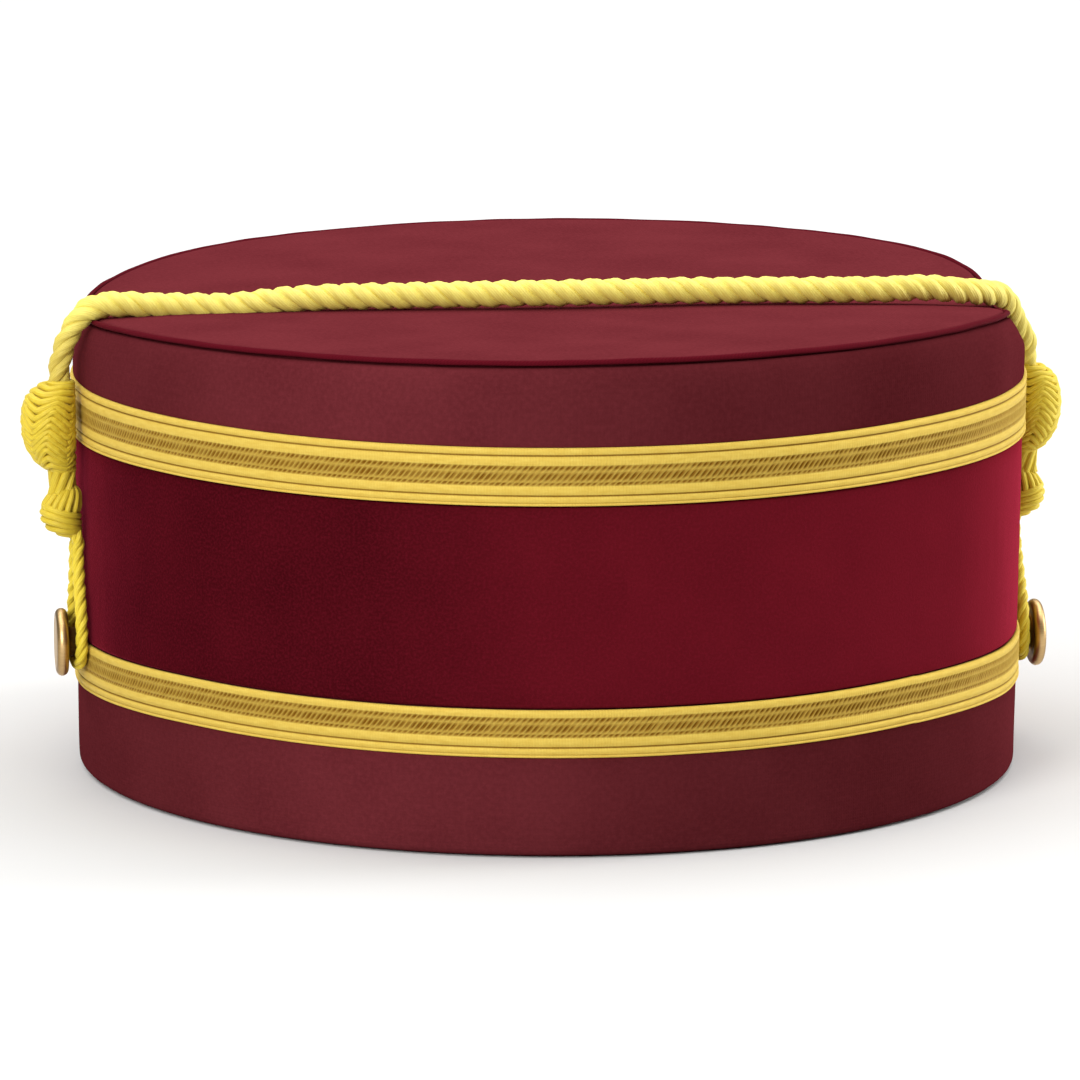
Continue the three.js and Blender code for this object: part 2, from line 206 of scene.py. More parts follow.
# Smooth centripetal line through chosen points, sampled evenly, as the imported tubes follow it
def smoothLine(points, step, closed=False):
    p = np.array(points, float)
    if closed:
        p = np.concatenate([p[-1:], p, p[:2]])
    else:
        p = np.concatenate([2 * p[:1] - p[1:2], p, 2 * p[-1:] - p[-2:-1]])
    dense = []
    for i in range(1, len(p) - 2):
        a, b, c, d = p[i - 1:i + 3]
        t1 = np.linalg.norm(b - a) ** 0.5
        t2 = t1 + np.linalg.norm(c - b) ** 0.5
        t3 = t2 + np.linalg.norm(d - c) ** 0.5
        for t in np.linspace(t1, t2, 40, endpoint=False):
            ab = a * (t1 - t) / t1 + b * t / t1
            bc = b * (t2 - t) / (t2 - t1) + c * (t - t1) / (t2 - t1)
            cd = c * (t3 - t) / (t3 - t2) + d * (t - t2) / (t3 - t2)
            abc = ab * (t2 - t) / t2 + bc * t / t2
            bcd = bc * (t3 - t) / (t3 - t1) + cd * (t - t1) / (t3 - t1)
            dense.append(abc * (t2 - t) / (t2 - t1) + bcd * (t - t1) / (t2 - t1))
    dense.append(p[-2])
    dense = np.array(dense)
    run = runAlong(dense)
    count = max(int(round(run[-1] / step)), 4)
    even = np.linspace(0, run[-1], count + 1)
    if closed:
        even = even[:-1]
    return np.stack([np.interp(even, run, dense[:, k]) for k in range(p.shape[1])], -1)


# Directions square to a line, carried along it without twist
def carryAlong(line):
    ahead = unit(np.gradient(line, axis=0))
    side = np.cross(ahead[0], [0.0, 0.0, 1.0])
    if np.linalg.norm(side) < 0.2:
        side = np.cross(ahead[0], [0.0, 1.0, 0.0])
    sides = []
    for direction in ahead:
        side = side - direction * np.dot(side, direction)
        side = side / np.linalg.norm(side)
        sides.append(side)
    sides = np.array(sides)
    return ahead, sides, np.cross(ahead, sides)


# A shape gathers swept sheets of points before it becomes one mesh
def newShape():
    return {"points": [], "faces": [], "corners": [], "marks": [], "count": 0}


def addSweep(shape, points, along, around, closeAlong, closeAround, inwards=False, marks=None):
    rows, columns = points.shape[:2]
    start = shape["count"]
    i = np.arange(rows if closeAlong else rows - 1)[:, None]
    j = np.arange(columns if closeAround else columns - 1)[None, :]
    order = [(0, 0), (1, 0), (1, 1), (0, 1)]
    if inwards:
        order = [(0, 0), (0, 1), (1, 1), (1, 0)]
    faces, corners = [], []
    for di, dj in order:
        row, column = i + di + 0 * j, j + dj + 0 * i
        faces.append(start + np.mod(row, rows) * columns + np.mod(column, columns))
        corners.append(np.stack([along[row], around[column]], -1))
    shape["faces"].append(np.stack(faces, -1).reshape(-1, 4))
    shape["corners"].append(np.stack(corners, -2).reshape(-1, 4, 2))
    shape["points"].append(points.reshape(-1, 3))
    shape["marks"].append(np.zeros(rows * columns) if marks is None else marks.reshape(-1))
    shape["count"] += rows * columns
    return start


# Closes both open ends of a sweep, each with a fan round one middle point
def addEnds(shape, start, rows, columns, middles, marks=(0.0, 0.0)):
    first = start + np.arange(columns)
    rims = [first[::-1], first + (rows - 1) * columns]
    for rim, middle, mark in zip(rims, middles, marks):
        nextRim = np.roll(rim, -1)
        shape["faces"].append(np.stack([np.full(columns, shape["count"]), rim, nextRim, nextRim], -1))
        shape["corners"].append(np.zeros((columns, 4, 2)))
        shape["points"].append(np.array([middle], float))
        shape["marks"].append(np.array([mark]))
        shape["count"] += 1


# Sweeps a section round the whole cap
def addBand(shape, arcs, places, outside, heights, around, marks=None):
    points = roundTheCap(places, outside, heights)
    addSweep(shape, points, np.append(arcs, ovalLength), around, True, True, marks=marks)


def addTube(shape, line, outward, radius, sides, closed=False, flatten=1.0, lobes=0, lobeDepth=0.0,
            lobeTurn=0.0, mark=0.0):
    ahead = np.roll(line, -1, 0) - np.roll(line, 1, 0) if closed else np.gradient(line, axis=0)
    ahead = unit(ahead)
    out = unit(outward - ahead * np.sum(outward * ahead, -1, keepdims=True))
    over = np.cross(ahead, out)
    run, turns = runAlong(line), evenTurns(sides)
    radius = np.broadcast_to(np.asarray(radius, float), (len(line),))
    size = radius[:, None] * (1 + lobeDepth * np.cos(lobes * turns[None, :] + lobeTurn * run[:, None]))
    points = (line[:, None] + out[:, None] * (size * np.cos(turns) * flatten)[..., None]
              + over[:, None] * (size * np.sin(turns))[..., None])
    along = np.append(run, run[-1] + (run[-1] - run[-2] if closed else 0))
    around = np.linspace(0, 2 * np.pi * float(radius.mean()), sides + 1)
    marks = np.broadcast_to(np.asarray(mark, float), (len(line),))
    start = addSweep(shape, points, along, around, closed, True, inwards=True,
                     marks=np.repeat(marks[:, None], sides, 1))
    if not closed:
        addEnds(shape, start, len(line), sides, (line[0], line[-1]), (marks[0], marks[-1]))


def makeMesh(name, shape, sharpAngle=None):
    points = np.concatenate(shape["points"]) * mm
    faces = np.concatenate(shape["faces"])
    corners = np.concatenate(shape["corners"])
    polygons, places = [], []
    for face, corner in zip(faces.tolist(), corners.tolist()):
        if face[2] == face[3]:
            face, corner = face[:3], corner[:3]
        polygons.append(face)
        places.extend(corner)
    mesh = bpy.data.meshes.new(name)
    mesh.from_pydata(points.tolist(), [], polygons)
    mesh.uv_layers.new(name="threads").data.foreach_set("uv", np.array(places, np.float32).ravel())
    # Marks of painted shade in creases, gaps, knot cores and hanging cord, of patina on the brass, and of the
    # lace's dark seam
    shadeAndPatina = mesh.attributes.new("shadeAndPatina", "FLOAT", "POINT")
    shadeAndPatina.data.foreach_set("value", np.concatenate(shape["marks"]).astype(np.float32))
    mesh.shade_smooth()
    if sharpAngle:
        mesh.set_sharp_from_angle(angle=math.radians(sharpAngle))
    mesh.update()
    return mesh


def addPiece(name, shape, material, node, sharpAngle=None):
    piece = bpy.data.objects.new(name, makeMesh(name, shape, sharpAngle))
    bpy.context.scene.collection.objects.link(piece)
    piece.data.materials.append(material)
    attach(piece, "root")
    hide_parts(node)
    triangles = sum(len(p.vertices) - 2 for p in piece.data.polygons)
    print("made", name, "with", triangles, "triangles")
    return piece


def linear(hexColour):
    parts = [int(hexColour[i:i + 2], 16) / 255 for i in (1, 3, 5)]
    return [p / 12.92 if p <= 0.04045 else ((p + 0.055) / 1.055) ** 2.4 for p in parts] + [1.0]


def startMaterial(name):
    material = bpy.data.materials.new(name)
    material.use_nodes = True
    return material, material.node_tree, material.node_tree.nodes["Principled BSDF"]


# Gives a node its settings, and links the inputs that are given another node's output
def setNode(tree, node, settings):
    for key, value in settings.items():
        if isinstance(value, bpy.types.NodeSocket):
            tree.links.new(value, node.inputs[key])
        elif isinstance(key, str) and hasattr(node, key):
            setattr(node, key, value)
        else:
            node.inputs[key].default_value = value


# Adds one node, and returns the output named. A mix of colours takes its share on input 0 and the
# colours on 6 and 7, and gives the result on output 2.
def addNode(tree, kind, output, settings):
    node = tree.nodes.new("ShaderNode" + kind)
    setNode(tree, node, settings)
    return node.outputs[output]


# Gives a grey ramp its stops, from one end to the other: place along it, value
def setStops(ramp, stops):
    for place, value in stops:
        if place in (0.0, 1.0):
            stop = ramp.elements[0 if place == 0.0 else len(ramp.elements) - 1]
        else:
            stop = ramp.elements.new(place)
        stop.color = (value, value, value, 1)


# Camera at the photo's viewing angle, with a long lens
photoView = {
    "azimuth": -8.0,
    "elevation": 9.5,
    "roll": -0.35,
    "distance": 1855.0,
    "lens": 319.7,
    "aim": (-1.3, -0.2, 41.7),
    "sensorWidth": 36,
    "clip": (0.05, 60),
}


def addCamera():
    a, e = math.radians(photoView["azimuth"]), math.radians(photoView["elevation"])
    back = Vector((math.sin(a) * math.cos(e), -math.cos(a) * math.cos(e), math.sin(e)))
    data = bpy.data.cameras.new("camera")
    data.lens = photoView["lens"]
    data.sensor_width = photoView["sensorWidth"]
    data.clip_start, data.clip_end = photoView["clip"]
    camera = bpy.data.objects.new("camera", data)
    camera.location = (Vector(photoView["aim"]) + back * photoView["distance"]) * mm
    turn = (-back).to_track_quat("-Z", "Y").to_matrix()
    turn = turn @ Matrix.Rotation(math.radians(photoView["roll"]), 3, "Z")
    camera.rotation_euler = turn.to_euler()
    bpy.context.scene.collection.objects.link(camera)
    bpy.context.scene.camera = camera


addCamera()
print("camera placed")


# The bands of a wave texture lie this far apart at a scale of 1
waveStep = 0.314


# Rayon cord: twisted shiny yellow thread. Fine filaments run along each strand and break up its gloss.
def rayonCord(name, lit, shaded):
    material, tree, shader = startMaterial(name)
    threads = addNode(tree, "UVMap", "UV", {"uv_map": "threads"})
    shadeAndPatina = addNode(tree, "Attribute", "Fac", {"attribute_name": "shadeAndPatina"})
    shift = addNode(tree, "TexNoise", "Fac", {"Vector": threads, "Scale": 0.8, "Detail": 2.0})
    # Filaments are 0.1 mm in the real cord; drawn 0.42 mm apart so that they show
    filaments = addNode(tree, "TexWave", "Fac", {
        "Vector": threads, "bands_direction": "Y", "Scale": waveStep / 0.42, "Distortion": 2.2,
        "Detail": 1.5, "Detail Scale": 0.6,
    })
    tone = addNode(tree, "MapRange", "Result", {
        "Value": shift, "From Min": 0.3, "From Max": 0.7, "To Max": 0.5,
    })
    warm = addNode(tree, "Mix", 2, {"data_type": "RGBA", 0: tone, 6: linear(lit), 7: linear(shaded)})
    lines = addNode(tree, "MapRange", "Result", {
        "Value": filaments, "From Max": 0.6, "To Min": 0.28, "To Max": 0.0,
    })
    colour = addNode(tree, "Mix", 2, {"data_type": "RGBA", 0: lines, 6: warm, 7: linear("#b8961a")})
    # Painted shade: the marks darken the thread towards a deep gold where it hangs out of the light, on the
    # left knots and on the knots' cores
    paintedShade = addNode(tree, "Mix", 2, {"data_type": "RGBA", 0: shadeAndPatina, 6: colour, 7: linear("#96700e")})
    bump = addNode(tree, "Bump", "Normal", {"Height": filaments, "Strength": 0.35, "Distance": 0.00012})
    setNode(tree, shader, {
        "Base Color": paintedShade, "Normal": bump, "Roughness": 0.52, "Specular IOR Level": 0.3,
        "Sheen Weight": 0.2, "Sheen Roughness": 0.4, "Sheen Tint": linear("#f7e88c"),
    })
    return material


# Painted light: the rope on the crown is drawn in a paler copy of the cord's colours than the knots and
# loops, as the light from above falls on it more strongly
litRopeMaterial = rayonCord("rayon rope", "#f0e172", "#e4d25a")
cordMaterial = rayonCord("rayon cord", "#e6cf3e", "#d4ba2c")

# Crown cord: three strands laid right-handed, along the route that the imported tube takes
crownCord = {
    "diameter": 4.6,
    "strands": 3,
    "layLength": 12.6,
    "phase": 0.0,
    "strandRadius": 1.42,
    "strandCentre": 1.26,
    "sides": 24,
    "yarns": 6,
    "yarnDepth": 0.055,
    "step": 0.6,
    "intoKnot": 1.2,
    # Fuller where it lies slack on the crown, and drawn thinner where it hangs
    "hangingShare": 0.82,
    "crownHeight": 90.6,
    "slackening": 1.2,
    # Drawn tight into the shoulders: axis, depth, hand, and from where to where across the cap it grows
    "pressedHeights": (76.5, 85.0),
    "presses": [(0, 1.25, 1, 79.0, 89.0), (2, 1.8, 1, 68.0, 86.0), (2, 1.1, -1, 46.0, 64.0)],
    # Painted shade: its thread is drawn deeper where it hangs, out of the light from above, more on the left
    # than on the right
    "shadeHeights": (82.0, 92.0),
    "shadeLeft": 0.42,
    "shadeRight": 0.08,
}
crownCordRoute = [
    (-94.95, -9.4, 77.0), (-94.93, -9.4, 78.4), (-94.75, -9.45, 80.4), (-94.35, -9.6, 82.6),
    (-93.6, -9.8, 85.4), (-92.35, -10.05, 87.9), (-90.82, -10.25, 90.2), (-88.7, -10.45, 91.72),
    (-85.9, -10.5, 92.3), (-82.9, -10.4, 92.35), (-79.0, -10.2, 92.1), (-74.5, -10.05, 91.85),
    (-69.9, -10.4, 91.75), (-64.5, -11.7, 91.8), (-54.0, -14.9, 92.28), (-44.0, -17.5, 92.65),
    (-30.0, -20.3, 92.98), (-13.0, -22.5, 93.15), (4.0, -23.6, 93.17), (21.0, -24.3, 93.15),
    (38.7, -25.2, 92.97), (53.0, -25.5, 92.65), (63.0, -24.3, 92.4), (71.0, -22.0, 92.2),
    (77.2, -19.4, 92.05), (82.0, -16.4, 91.75), (85.6, -13.6, 91.4), (88.2, -11.2, 90.7),
    (89.9, -9.3, 89.3), (91.0, -7.5, 87.5), (92.05, -5.7, 85.6), (93.0, -3.95, 83.7),
    (93.75, -2.3, 81.8), (94.2, -0.75, 79.9), (94.45, 0.6, 78.1), (94.6, 1.7, 76.5),
    (94.65, 2.4, 75.2), (94.66, 2.75, 74.0),
]


def layStrands(shape, line, size, share, mark=0.0):
    ahead, sides, overs = carryAlong(line)
    run = runAlong(line)
    for k in range(size["strands"]):
        turn = size["phase"] + 2 * np.pi * (k / size["strands"] + run / size["layLength"])
        outward = np.cos(turn)[:, None] * sides + np.sin(turn)[:, None] * overs
        swell = share * (1 + 0.03 * np.sin(run * 0.9 + 2.1 * k) + 0.02 * np.sin(run * 2.3 + k))
        centre = line + outward * (size["strandCentre"] * share)[:, None]
        addTube(
            shape, centre, outward, size["strandRadius"] * swell, size["sides"], flatten=0.95, mark=mark,
            lobes=size["yarns"], lobeDepth=size["yarnDepth"], lobeTurn=-2 * np.pi / size["layLength"] * 0.9,
        )


def addCrownCord():
    line = smoothLine(crownCordRoute, crownCord["step"])
    heads = [line[i] + [0, 0, -crownCord["intoKnot"]] for i in (0, -1)]
    line = smoothLine([heads[0], *line[::3], heads[1]], crownCord["step"])
    lying = 1 / (1 + np.exp(-(line[:, 2] - crownCord["crownHeight"]) * crownCord["slackening"]))
    share = crownCord["hangingShare"] + (1 - crownCord["hangingShare"]) * lying
    over = risesTo(line[:, 2], *crownCord["pressedHeights"])
    laid = line.copy()
    for axis, depth, hand, low, high in crownCord["presses"]:
        laid[:, axis] -= depth * over * risesTo(hand * line[:, 0], low, high)
    # Painted shade on the hanging parts of the rope
    hangs = 1 - risesTo(line[:, 2], *crownCord["shadeHeights"])
    paintedShade = hangs * np.where(line[:, 0] < 0, crownCord["shadeLeft"], crownCord["shadeRight"])
    shape = newShape()
    layStrands(shape, laid, crownCord, share, paintedShade)
    return addPiece("crown_rope", shape, litRopeMaterial, "crown_cord"), line


crownRope, crownRopeLine = addCrownCord()

# The two sides: knots, neck, loop and button, laid out from the wall outwards as in the packed
# model. Place is how far along the wall a side's knots lie from its button. Lifts are how far its
# knots and button hang above the heights in their tables. Shade is painted shade on the knots'
# strands: the left knots are drawn a tone deeper, as they lie out of the light.
sides = [
    {"name": "left", "facing": -1, "depth": -10.0, "place": -1.0, "knotLift": 0.75, "buttonLift": 2.2,
     "fullness": 1.0, "apex": 83.7, "buttonTilt": -6.5, "shade": 0.22},
    {"name": "right", "facing": 1, "depth": -2.5, "place": 6.0, "knotLift": -2.65, "buttonLift": -3.1,
     "fullness": 0.9, "apex": -90.0, "buttonTilt": 2.0, "shade": 0.0},
]


# From a side's own axes (out of the wall, along it, up) to the cap's
def fromSide(side, points, lift=0.0):
    turn = math.asin(side["depth"] / halfLength)
    turn = turn if side["facing"] > 0 else math.pi - turn
    point = np.array([cap["halfWidth"] * math.cos(turn), halfLength * math.sin(turn)])
    outward = unit(np.array([halfLength * math.cos(turn), cap["halfWidth"] * math.sin(turn)]))
    flat = point + points[:, :1] * outward + points[:, 1:2] * np.array([-outward[1], outward[0]])
    return np.concatenate([flat, points[:, 2:] + lift], -1)


# Stands a shape made on a side's own axes in its place on the cap
def addSidePiece(side, shape, lift, name, node, material=cordMaterial, sharpAngle=None):
    shape["points"] = [fromSide(side, points, lift) for points in shape["points"]]
    return addPiece(side["name"] + name, shape, material, side["name"] + node, sharpAngle)


loop = {
    "diameter": 2.5,
    "legSpacing": 3.1,
    "bend": 5.0,
    "bendCentre": 24.85,
    "top": 45.6,
    "overVelvet": 2.157,
    "overLace": 2.48,
    # Stations of a leg: share of its fall, of its spread to the bend, and of the knots' place
    "course": [(0.0, 0.0, 1.0), (0.12, 0.0, 1.0), (0.42, 0.3, 0.6), (0.75, 0.85, 0.12)],
    "strands": 3,
    "layLength": 8.5,
    "phase": 0.8,
    "strandRadius": 0.7,
    "strandCentre": 0.56,
    "sides": 18,
    "yarns": 5,
    "yarnDepth": 0.05,
    "step": 0.45,
    "intoKnot": 1.4,
    "outInKnot": 0.5,
}


def loopRoute(side):
    top = loop["top"] + side["knotLift"]
    bendCentre = loop["bendCentre"] + side["buttonLift"]
    legs, bend = [], []
    for hand in (1, -1):
        leg = []
        for fall, spread, slip in loop["course"]:
            across = loop["legSpacing"] / 2 * (1 - spread) + loop["bend"] * spread
            leg.append((
                loop["overVelvet"] + (loop["overLace"] - loop["overVelvet"]) * fall,
                side["place"] * slip + hand * across,
                top + (bendCentre - top) * fall,
            ))
        legs.append(leg)
    for i in range(9):
        turn = math.pi * i / 8
        across, down = loop["bend"] * math.cos(turn), loop["bend"] * math.sin(turn)
        bend.append((loop["overLace"], across, bendCentre - down))
    return legs[0] + bend + legs[1][::-1]


def addLoop(side):
    route = loopRoute(side)
    ends = [np.array(route[i]) + [loop["outInKnot"], 0, loop["intoKnot"]] for i in (0, -1)]
    line = smoothLine([ends[0], *route, ends[1]], loop["step"])
    shape = newShape()
    layStrands(shape, line, loop, np.ones(len(line)))
    return addSidePiece(side, shape, 0.0, "_loop_cord", "_button_loop"), fromSide(side, line)


loopCords = {side["name"]: addLoop(side) for side in sides}


# Slide knot: rings of one worked strand, plaited to eight columns, so that the rings run in chevrons
slideKnot = {
    "bottom": 58.8,
    "length": 17.0,
    "girth": 10.6,
    "innerSide": 1.99,
    "depth": 1.1,
    "shape": [
        (0, 0.42), (0.05, 0.62), (0.2, 0.86), (0.4, 0.98), (0.62, 1.0), (0.8, 0.94), (0.9, 0.82),
        (0.96, 0.66), (1, 0.36),
    ],
    "pitch": 1.17,
    "strandRadius": 0.68,
    "columns": 8,
    "chevron": 1.4,
    # Shares of the chevron's height from the knot's bottom to its top
    "chevronShares": [
        (0.0, 0.0), (0.1, 0.35), (0.2, 0.9), (0.3, 1.0), (0.62, 1.0), (0.75, 0.6), (0.86, 0.15), (1.0, 0.0),
    ],
    "cornerShare": 0.965,
    "topShare": 0.985,
    "margin": 0.3,
    "clearance": 0.06,
    "twist": 3.0,
    "lift": 0.12,
    "steps": 112,
    "sides": 10,
}


def knotRadius(size, heights):
    share = smoothLine(size["shape"], 0.02)
    order = np.argsort(share[:, 0])
    rise = (heights - size["bottom"]) / size["length"]
    return size["girth"] / 2 * np.interp(rise, share[order, 0], share[order, 1])


# Places on a knot's skin, sunk by a given amount; every ring of the knot touches the wall's side
def onKnot(size, side, turns, heights, sink):
    radius = knotRadius(size, heights) * side["fullness"]
    outward = np.stack([np.cos(turns), np.sin(turns) * size["depth"], 0 * turns], -1)
    centre = np.stack([size["innerSide"] + radius, side["place"] + 0 * radius, heights], -1)
    return centre + outward * (radius - sink)[..., None], unit(outward)


# Heights spaced evenly along a knot's skin, up to a share of its length
def skinLevels(size, topShare, pitch):
    heights = size["bottom"] + size["length"] * np.linspace(0.02, topShare, 300)
    run = runAlong(np.stack([heights, knotRadius(size, heights)], -1))
    return np.interp(np.linspace(0, run[-1], int(round(run[-1] / pitch)) + 1), run, heights)


# A dark core closes the gaps between a knot's strands: painted shade, standing where the gaps show only
# shadow
knotCore = {"sink": 0.95, "inset": 0.35, "rings": 20, "spokes": 28, "mark": 0.8}


def addKnotCore(shape, size, side):
    bottom, top = size["bottom"] + knotCore["inset"], size["bottom"] + size["length"] - knotCore["inset"]
    heights = np.linspace(bottom, top, knotCore["rings"])
    turns = evenTurns(knotCore["spokes"])
    radius = (knotRadius(size, heights) * side["fullness"])[:, None]
    rings = np.stack([
        size["innerSide"] + radius + (radius - knotCore["sink"]) * np.cos(turns),
        side["place"] + (radius - knotCore["sink"]) * np.sin(turns) * size["depth"],
        heights[:, None] + 0 * turns,
    ], -1)
    rows, columns = rings.shape[:2]
    start = addSweep(shape, rings, np.arange(rows + 1.0), np.arange(columns + 1.0), False, True, inwards=True,
                     marks=np.full((rows, columns), knotCore["mark"]))
    addEnds(shape, start, rows, columns, (rings[0].mean(0), rings[-1].mean(0)), [knotCore["mark"]] * 2)


def addSlideKnot(side):
    size, shape = slideKnot, newShape()
    addKnotCore(shape, size, side)
    turns = evenTurns(size["steps"])
    middle, top = size["bottom"] + size["length"] / 2, size["bottom"] + size["length"]
    periods, corner = size["columns"] // 2, size["cornerShare"]
    for k, level in enumerate(skinLevels(size, size["topShare"], size["pitch"])):
        apex = math.radians(side["apex"] + size["twist"] * (level - middle))
        flat = np.interp((level - size["bottom"]) / size["length"], *zip(*size["chevronShares"]))
        # A triangle wave with soft corners: 1 at an apex, -1 half a column pair away
        wave = np.arcsin(corner * np.cos(periods * (turns - apex))) / math.asin(corner)
        heights = level + size["chevron"] * flat * wave + 0.05 * np.sin(3 * turns + k)
        heights = np.clip(heights, size["bottom"] + size["margin"], top - size["margin"])
        # At every apex and foot one ring passes over its neighbour and the next one under
        cross = np.cos(2 * periods * (turns - apex)) ** 3 * (1 if k % 2 else -1)
        sink = size["strandRadius"] + size["clearance"] - size["lift"] * cross * flat
        line, outward = onKnot(size, side, turns, heights, sink)
        radius = size["strandRadius"] * (0.96 + 0.08 * dice.random())
        addTube(shape, line, outward, radius, size["sides"], closed=True, flatten=1.05, mark=side["shade"])
    return addSidePiece(side, shape, side["knotLift"], "_slide_knot_strands", "_slide_knot")


# Neck: a few soft strands side by side between the two knots
neck = {
    "bottom": 55.2,
    "top": 58.5,
    "innerSide": 1.99,
    "diameter": 5.6,
    "strands": 7,
    "strandRadius": 0.86,
    "reach": 0.9,
    "twist": 0.5,
    "waist": 0.1,
    "yarns": 4,
    "yarnDepth": 0.06,
    "steps": 16,
    "sides": 16,
}


def addNeck(side):
    radius = neck["diameter"] / 2 * side["fullness"]
    shape = newShape()
    heights = np.linspace(neck["bottom"] - neck["reach"], neck["top"] + neck["reach"], neck["steps"])
    rise = np.linspace(-1, 1, neck["steps"])
    for k in range(neck["strands"] + 1):
        ring = 0 if k == neck["strands"] else radius - neck["strandRadius"] * 0.92
        turns = 2 * math.pi * k / neck["strands"] + 0.5 + 0.1 * dice.random() + neck["twist"] * rise
        waist = ring * (1 - neck["waist"] * (1 - rise ** 2))
        out = neck["innerSide"] + radius + waist * np.cos(turns)
        across = side["place"] + waist * np.sin(turns)
        outward = np.stack([np.cos(turns), np.sin(turns), 0 * turns], -1)
        addTube(
            shape, np.stack([out, across, heights], -1), outward, neck["strandRadius"] * side["fullness"],
            neck["sides"], lobes=neck["yarns"], lobeDepth=neck["yarnDepth"], lobeTurn=0.5, mark=side["shade"],
        )
    return addSidePiece(side, shape, side["knotLift"], "_neck_strands", "_neck_cord")


# End knot: strands fan out over its upper part and are bound by wraps round its lower part
endKnot = {
    "bottom": 45.9,
    "length": 9.0,
    "girth": 8.1,
    "innerSide": 1.05,
    "depth": 1.1,
    "shape": [
        (0, 0.15), (0.04, 0.42), (0.1, 0.65), (0.22, 0.87), (0.42, 1.0), (0.6, 1.0), (0.8, 0.88), (1, 0.7),
    ],
    "fanStrands": 14,
    # Stations of a fan strand: height, depth below the skin, turn
    "fan": [
        (55.4, 1.5, 0.16), (54.8, 0.95, 0.12), (54.0, 0.62, 0.07), (53.0, 0.56, 0.02), (51.9, 0.62, -0.03),
        (50.2, 1.2, -0.06),
    ],
    "fanRadius": 0.66,
    "fanSides": 10,
    "wrapTop": 0.56,
    "wrapPitch": 1.15,
    "wrapRadius": 0.68,
    "wrapTilt": 0.26,
    "wrapSides": 12,
    "steps": 96,
}


def addEndKnot(side):
    size, shape = endKnot, newShape()
    addKnotCore(shape, size, side)
    fanHeights, fanSinks, fanTurns = np.array(size["fan"]).T
    for k in range(size["fanStrands"]):
        turn = 2 * math.pi * (k + 0.25 * dice.random()) / size["fanStrands"]
        line, outward = onKnot(size, side, turn + fanTurns, fanHeights, fanSinks)
        path = smoothLine(line, 0.35)
        steps, stations = np.linspace(0, 1, len(path)), np.linspace(0, 1, len(line))
        lean = np.stack([np.interp(steps, stations, outward[:, i]) for i in range(3)], -1)
        addTube(shape, path, lean, size["fanRadius"] * side["fullness"], size["fanSides"], mark=side["shade"])
    turns = evenTurns(size["steps"])
    # Seen from the front, the wraps fall towards the wall
    fall = np.cos(turns) * size["wrapTilt"]
    for k, level in enumerate(skinLevels(size, size["wrapTop"], size["wrapPitch"])):
        radius = knotRadius(size, np.array([level]))[0] * side["fullness"]
        rise = min((level - size["bottom"]) / 2.5, 1)
        heights = level + rise * fall * radius + 0.05 * np.sin(2 * turns + 1.7 * k)
        heights = np.maximum(heights, size["bottom"] + 0.12)
        sink = size["wrapRadius"] + 0.02 + 0.04 * np.sin(turns + 2.3 * k)
        line, outward = onKnot(size, side, turns, heights, sink)
        radius = size["wrapRadius"] * (0.97 + 0.07 * dice.random())
        addTube(shape, line, outward, radius, size["wrapSides"], closed=True, mark=side["shade"])
    return addSidePiece(side, shape, side["knotLift"], "_end_knot_strands", "_end_knot")


# Antique brass, turned: a warm brown metal, bright where it is rubbed, with patina in its corners and painted
# shade with patina on the sides of its rounded edge
def antiqueBrass():
    material, tree, shader = startMaterial("antique brass")
    threads = addNode(tree, "UVMap", "UV", {"uv_map": "threads"})
    shadeAndPatina = addNode(tree, "Attribute", "Fac", {"attribute_name": "shadeAndPatina"})
    brushed = addNode(tree, "Mapping", "Vector", {"Vector": threads, "Scale": (0.15, 6.0, 1.0)})
    streaks = addNode(tree, "TexNoise", "Fac", {"Vector": brushed, "Scale": 1.6, "Detail": 4.0})
    tone = addNode(tree, "Mix", 2, {
        "data_type": "RGBA", 0: streaks, 6: linear("#f0cf96"), 7: linear("#c29c64"),
    })
    colour = addNode(tree, "Mix", 2, {"data_type": "RGBA", 0: shadeAndPatina, 6: tone, 7: linear("#64471f")})
    rough = addNode(tree, "MapRange", "Result", {"Value": streaks, "To Min": 0.32, "To Max": 0.5})
    bump = addNode(tree, "Bump", "Normal", {"Height": streaks, "Strength": 0.08, "Distance": 0.0001})
    setNode(tree, shader, {"Base Color": colour, "Roughness": rough, "Normal": bump, "Metallic": 1.0})
    return material


brassMaterial = antiqueBrass()

# Button: distances out of the wall and radii, turned round the button's own axis
button = {
    "height": 24.2,
    "foot": 1.18,
    "headBack": 4.03,
    "radius": 6.5,
    "shankRadius": 2.8,
    "thickness": 2.3,
    "dome": 0.15,
    "standOff": 0.3,
    # How dark it is drawn: patina behind the head and in the step, patina with painted shade towards both
    # sides of the rounded edge
    "dullBack": 0.8,
    "edgePatinaAndShade": 0.8,
    "dullStep": 0.35,
    "steps": 72,
}


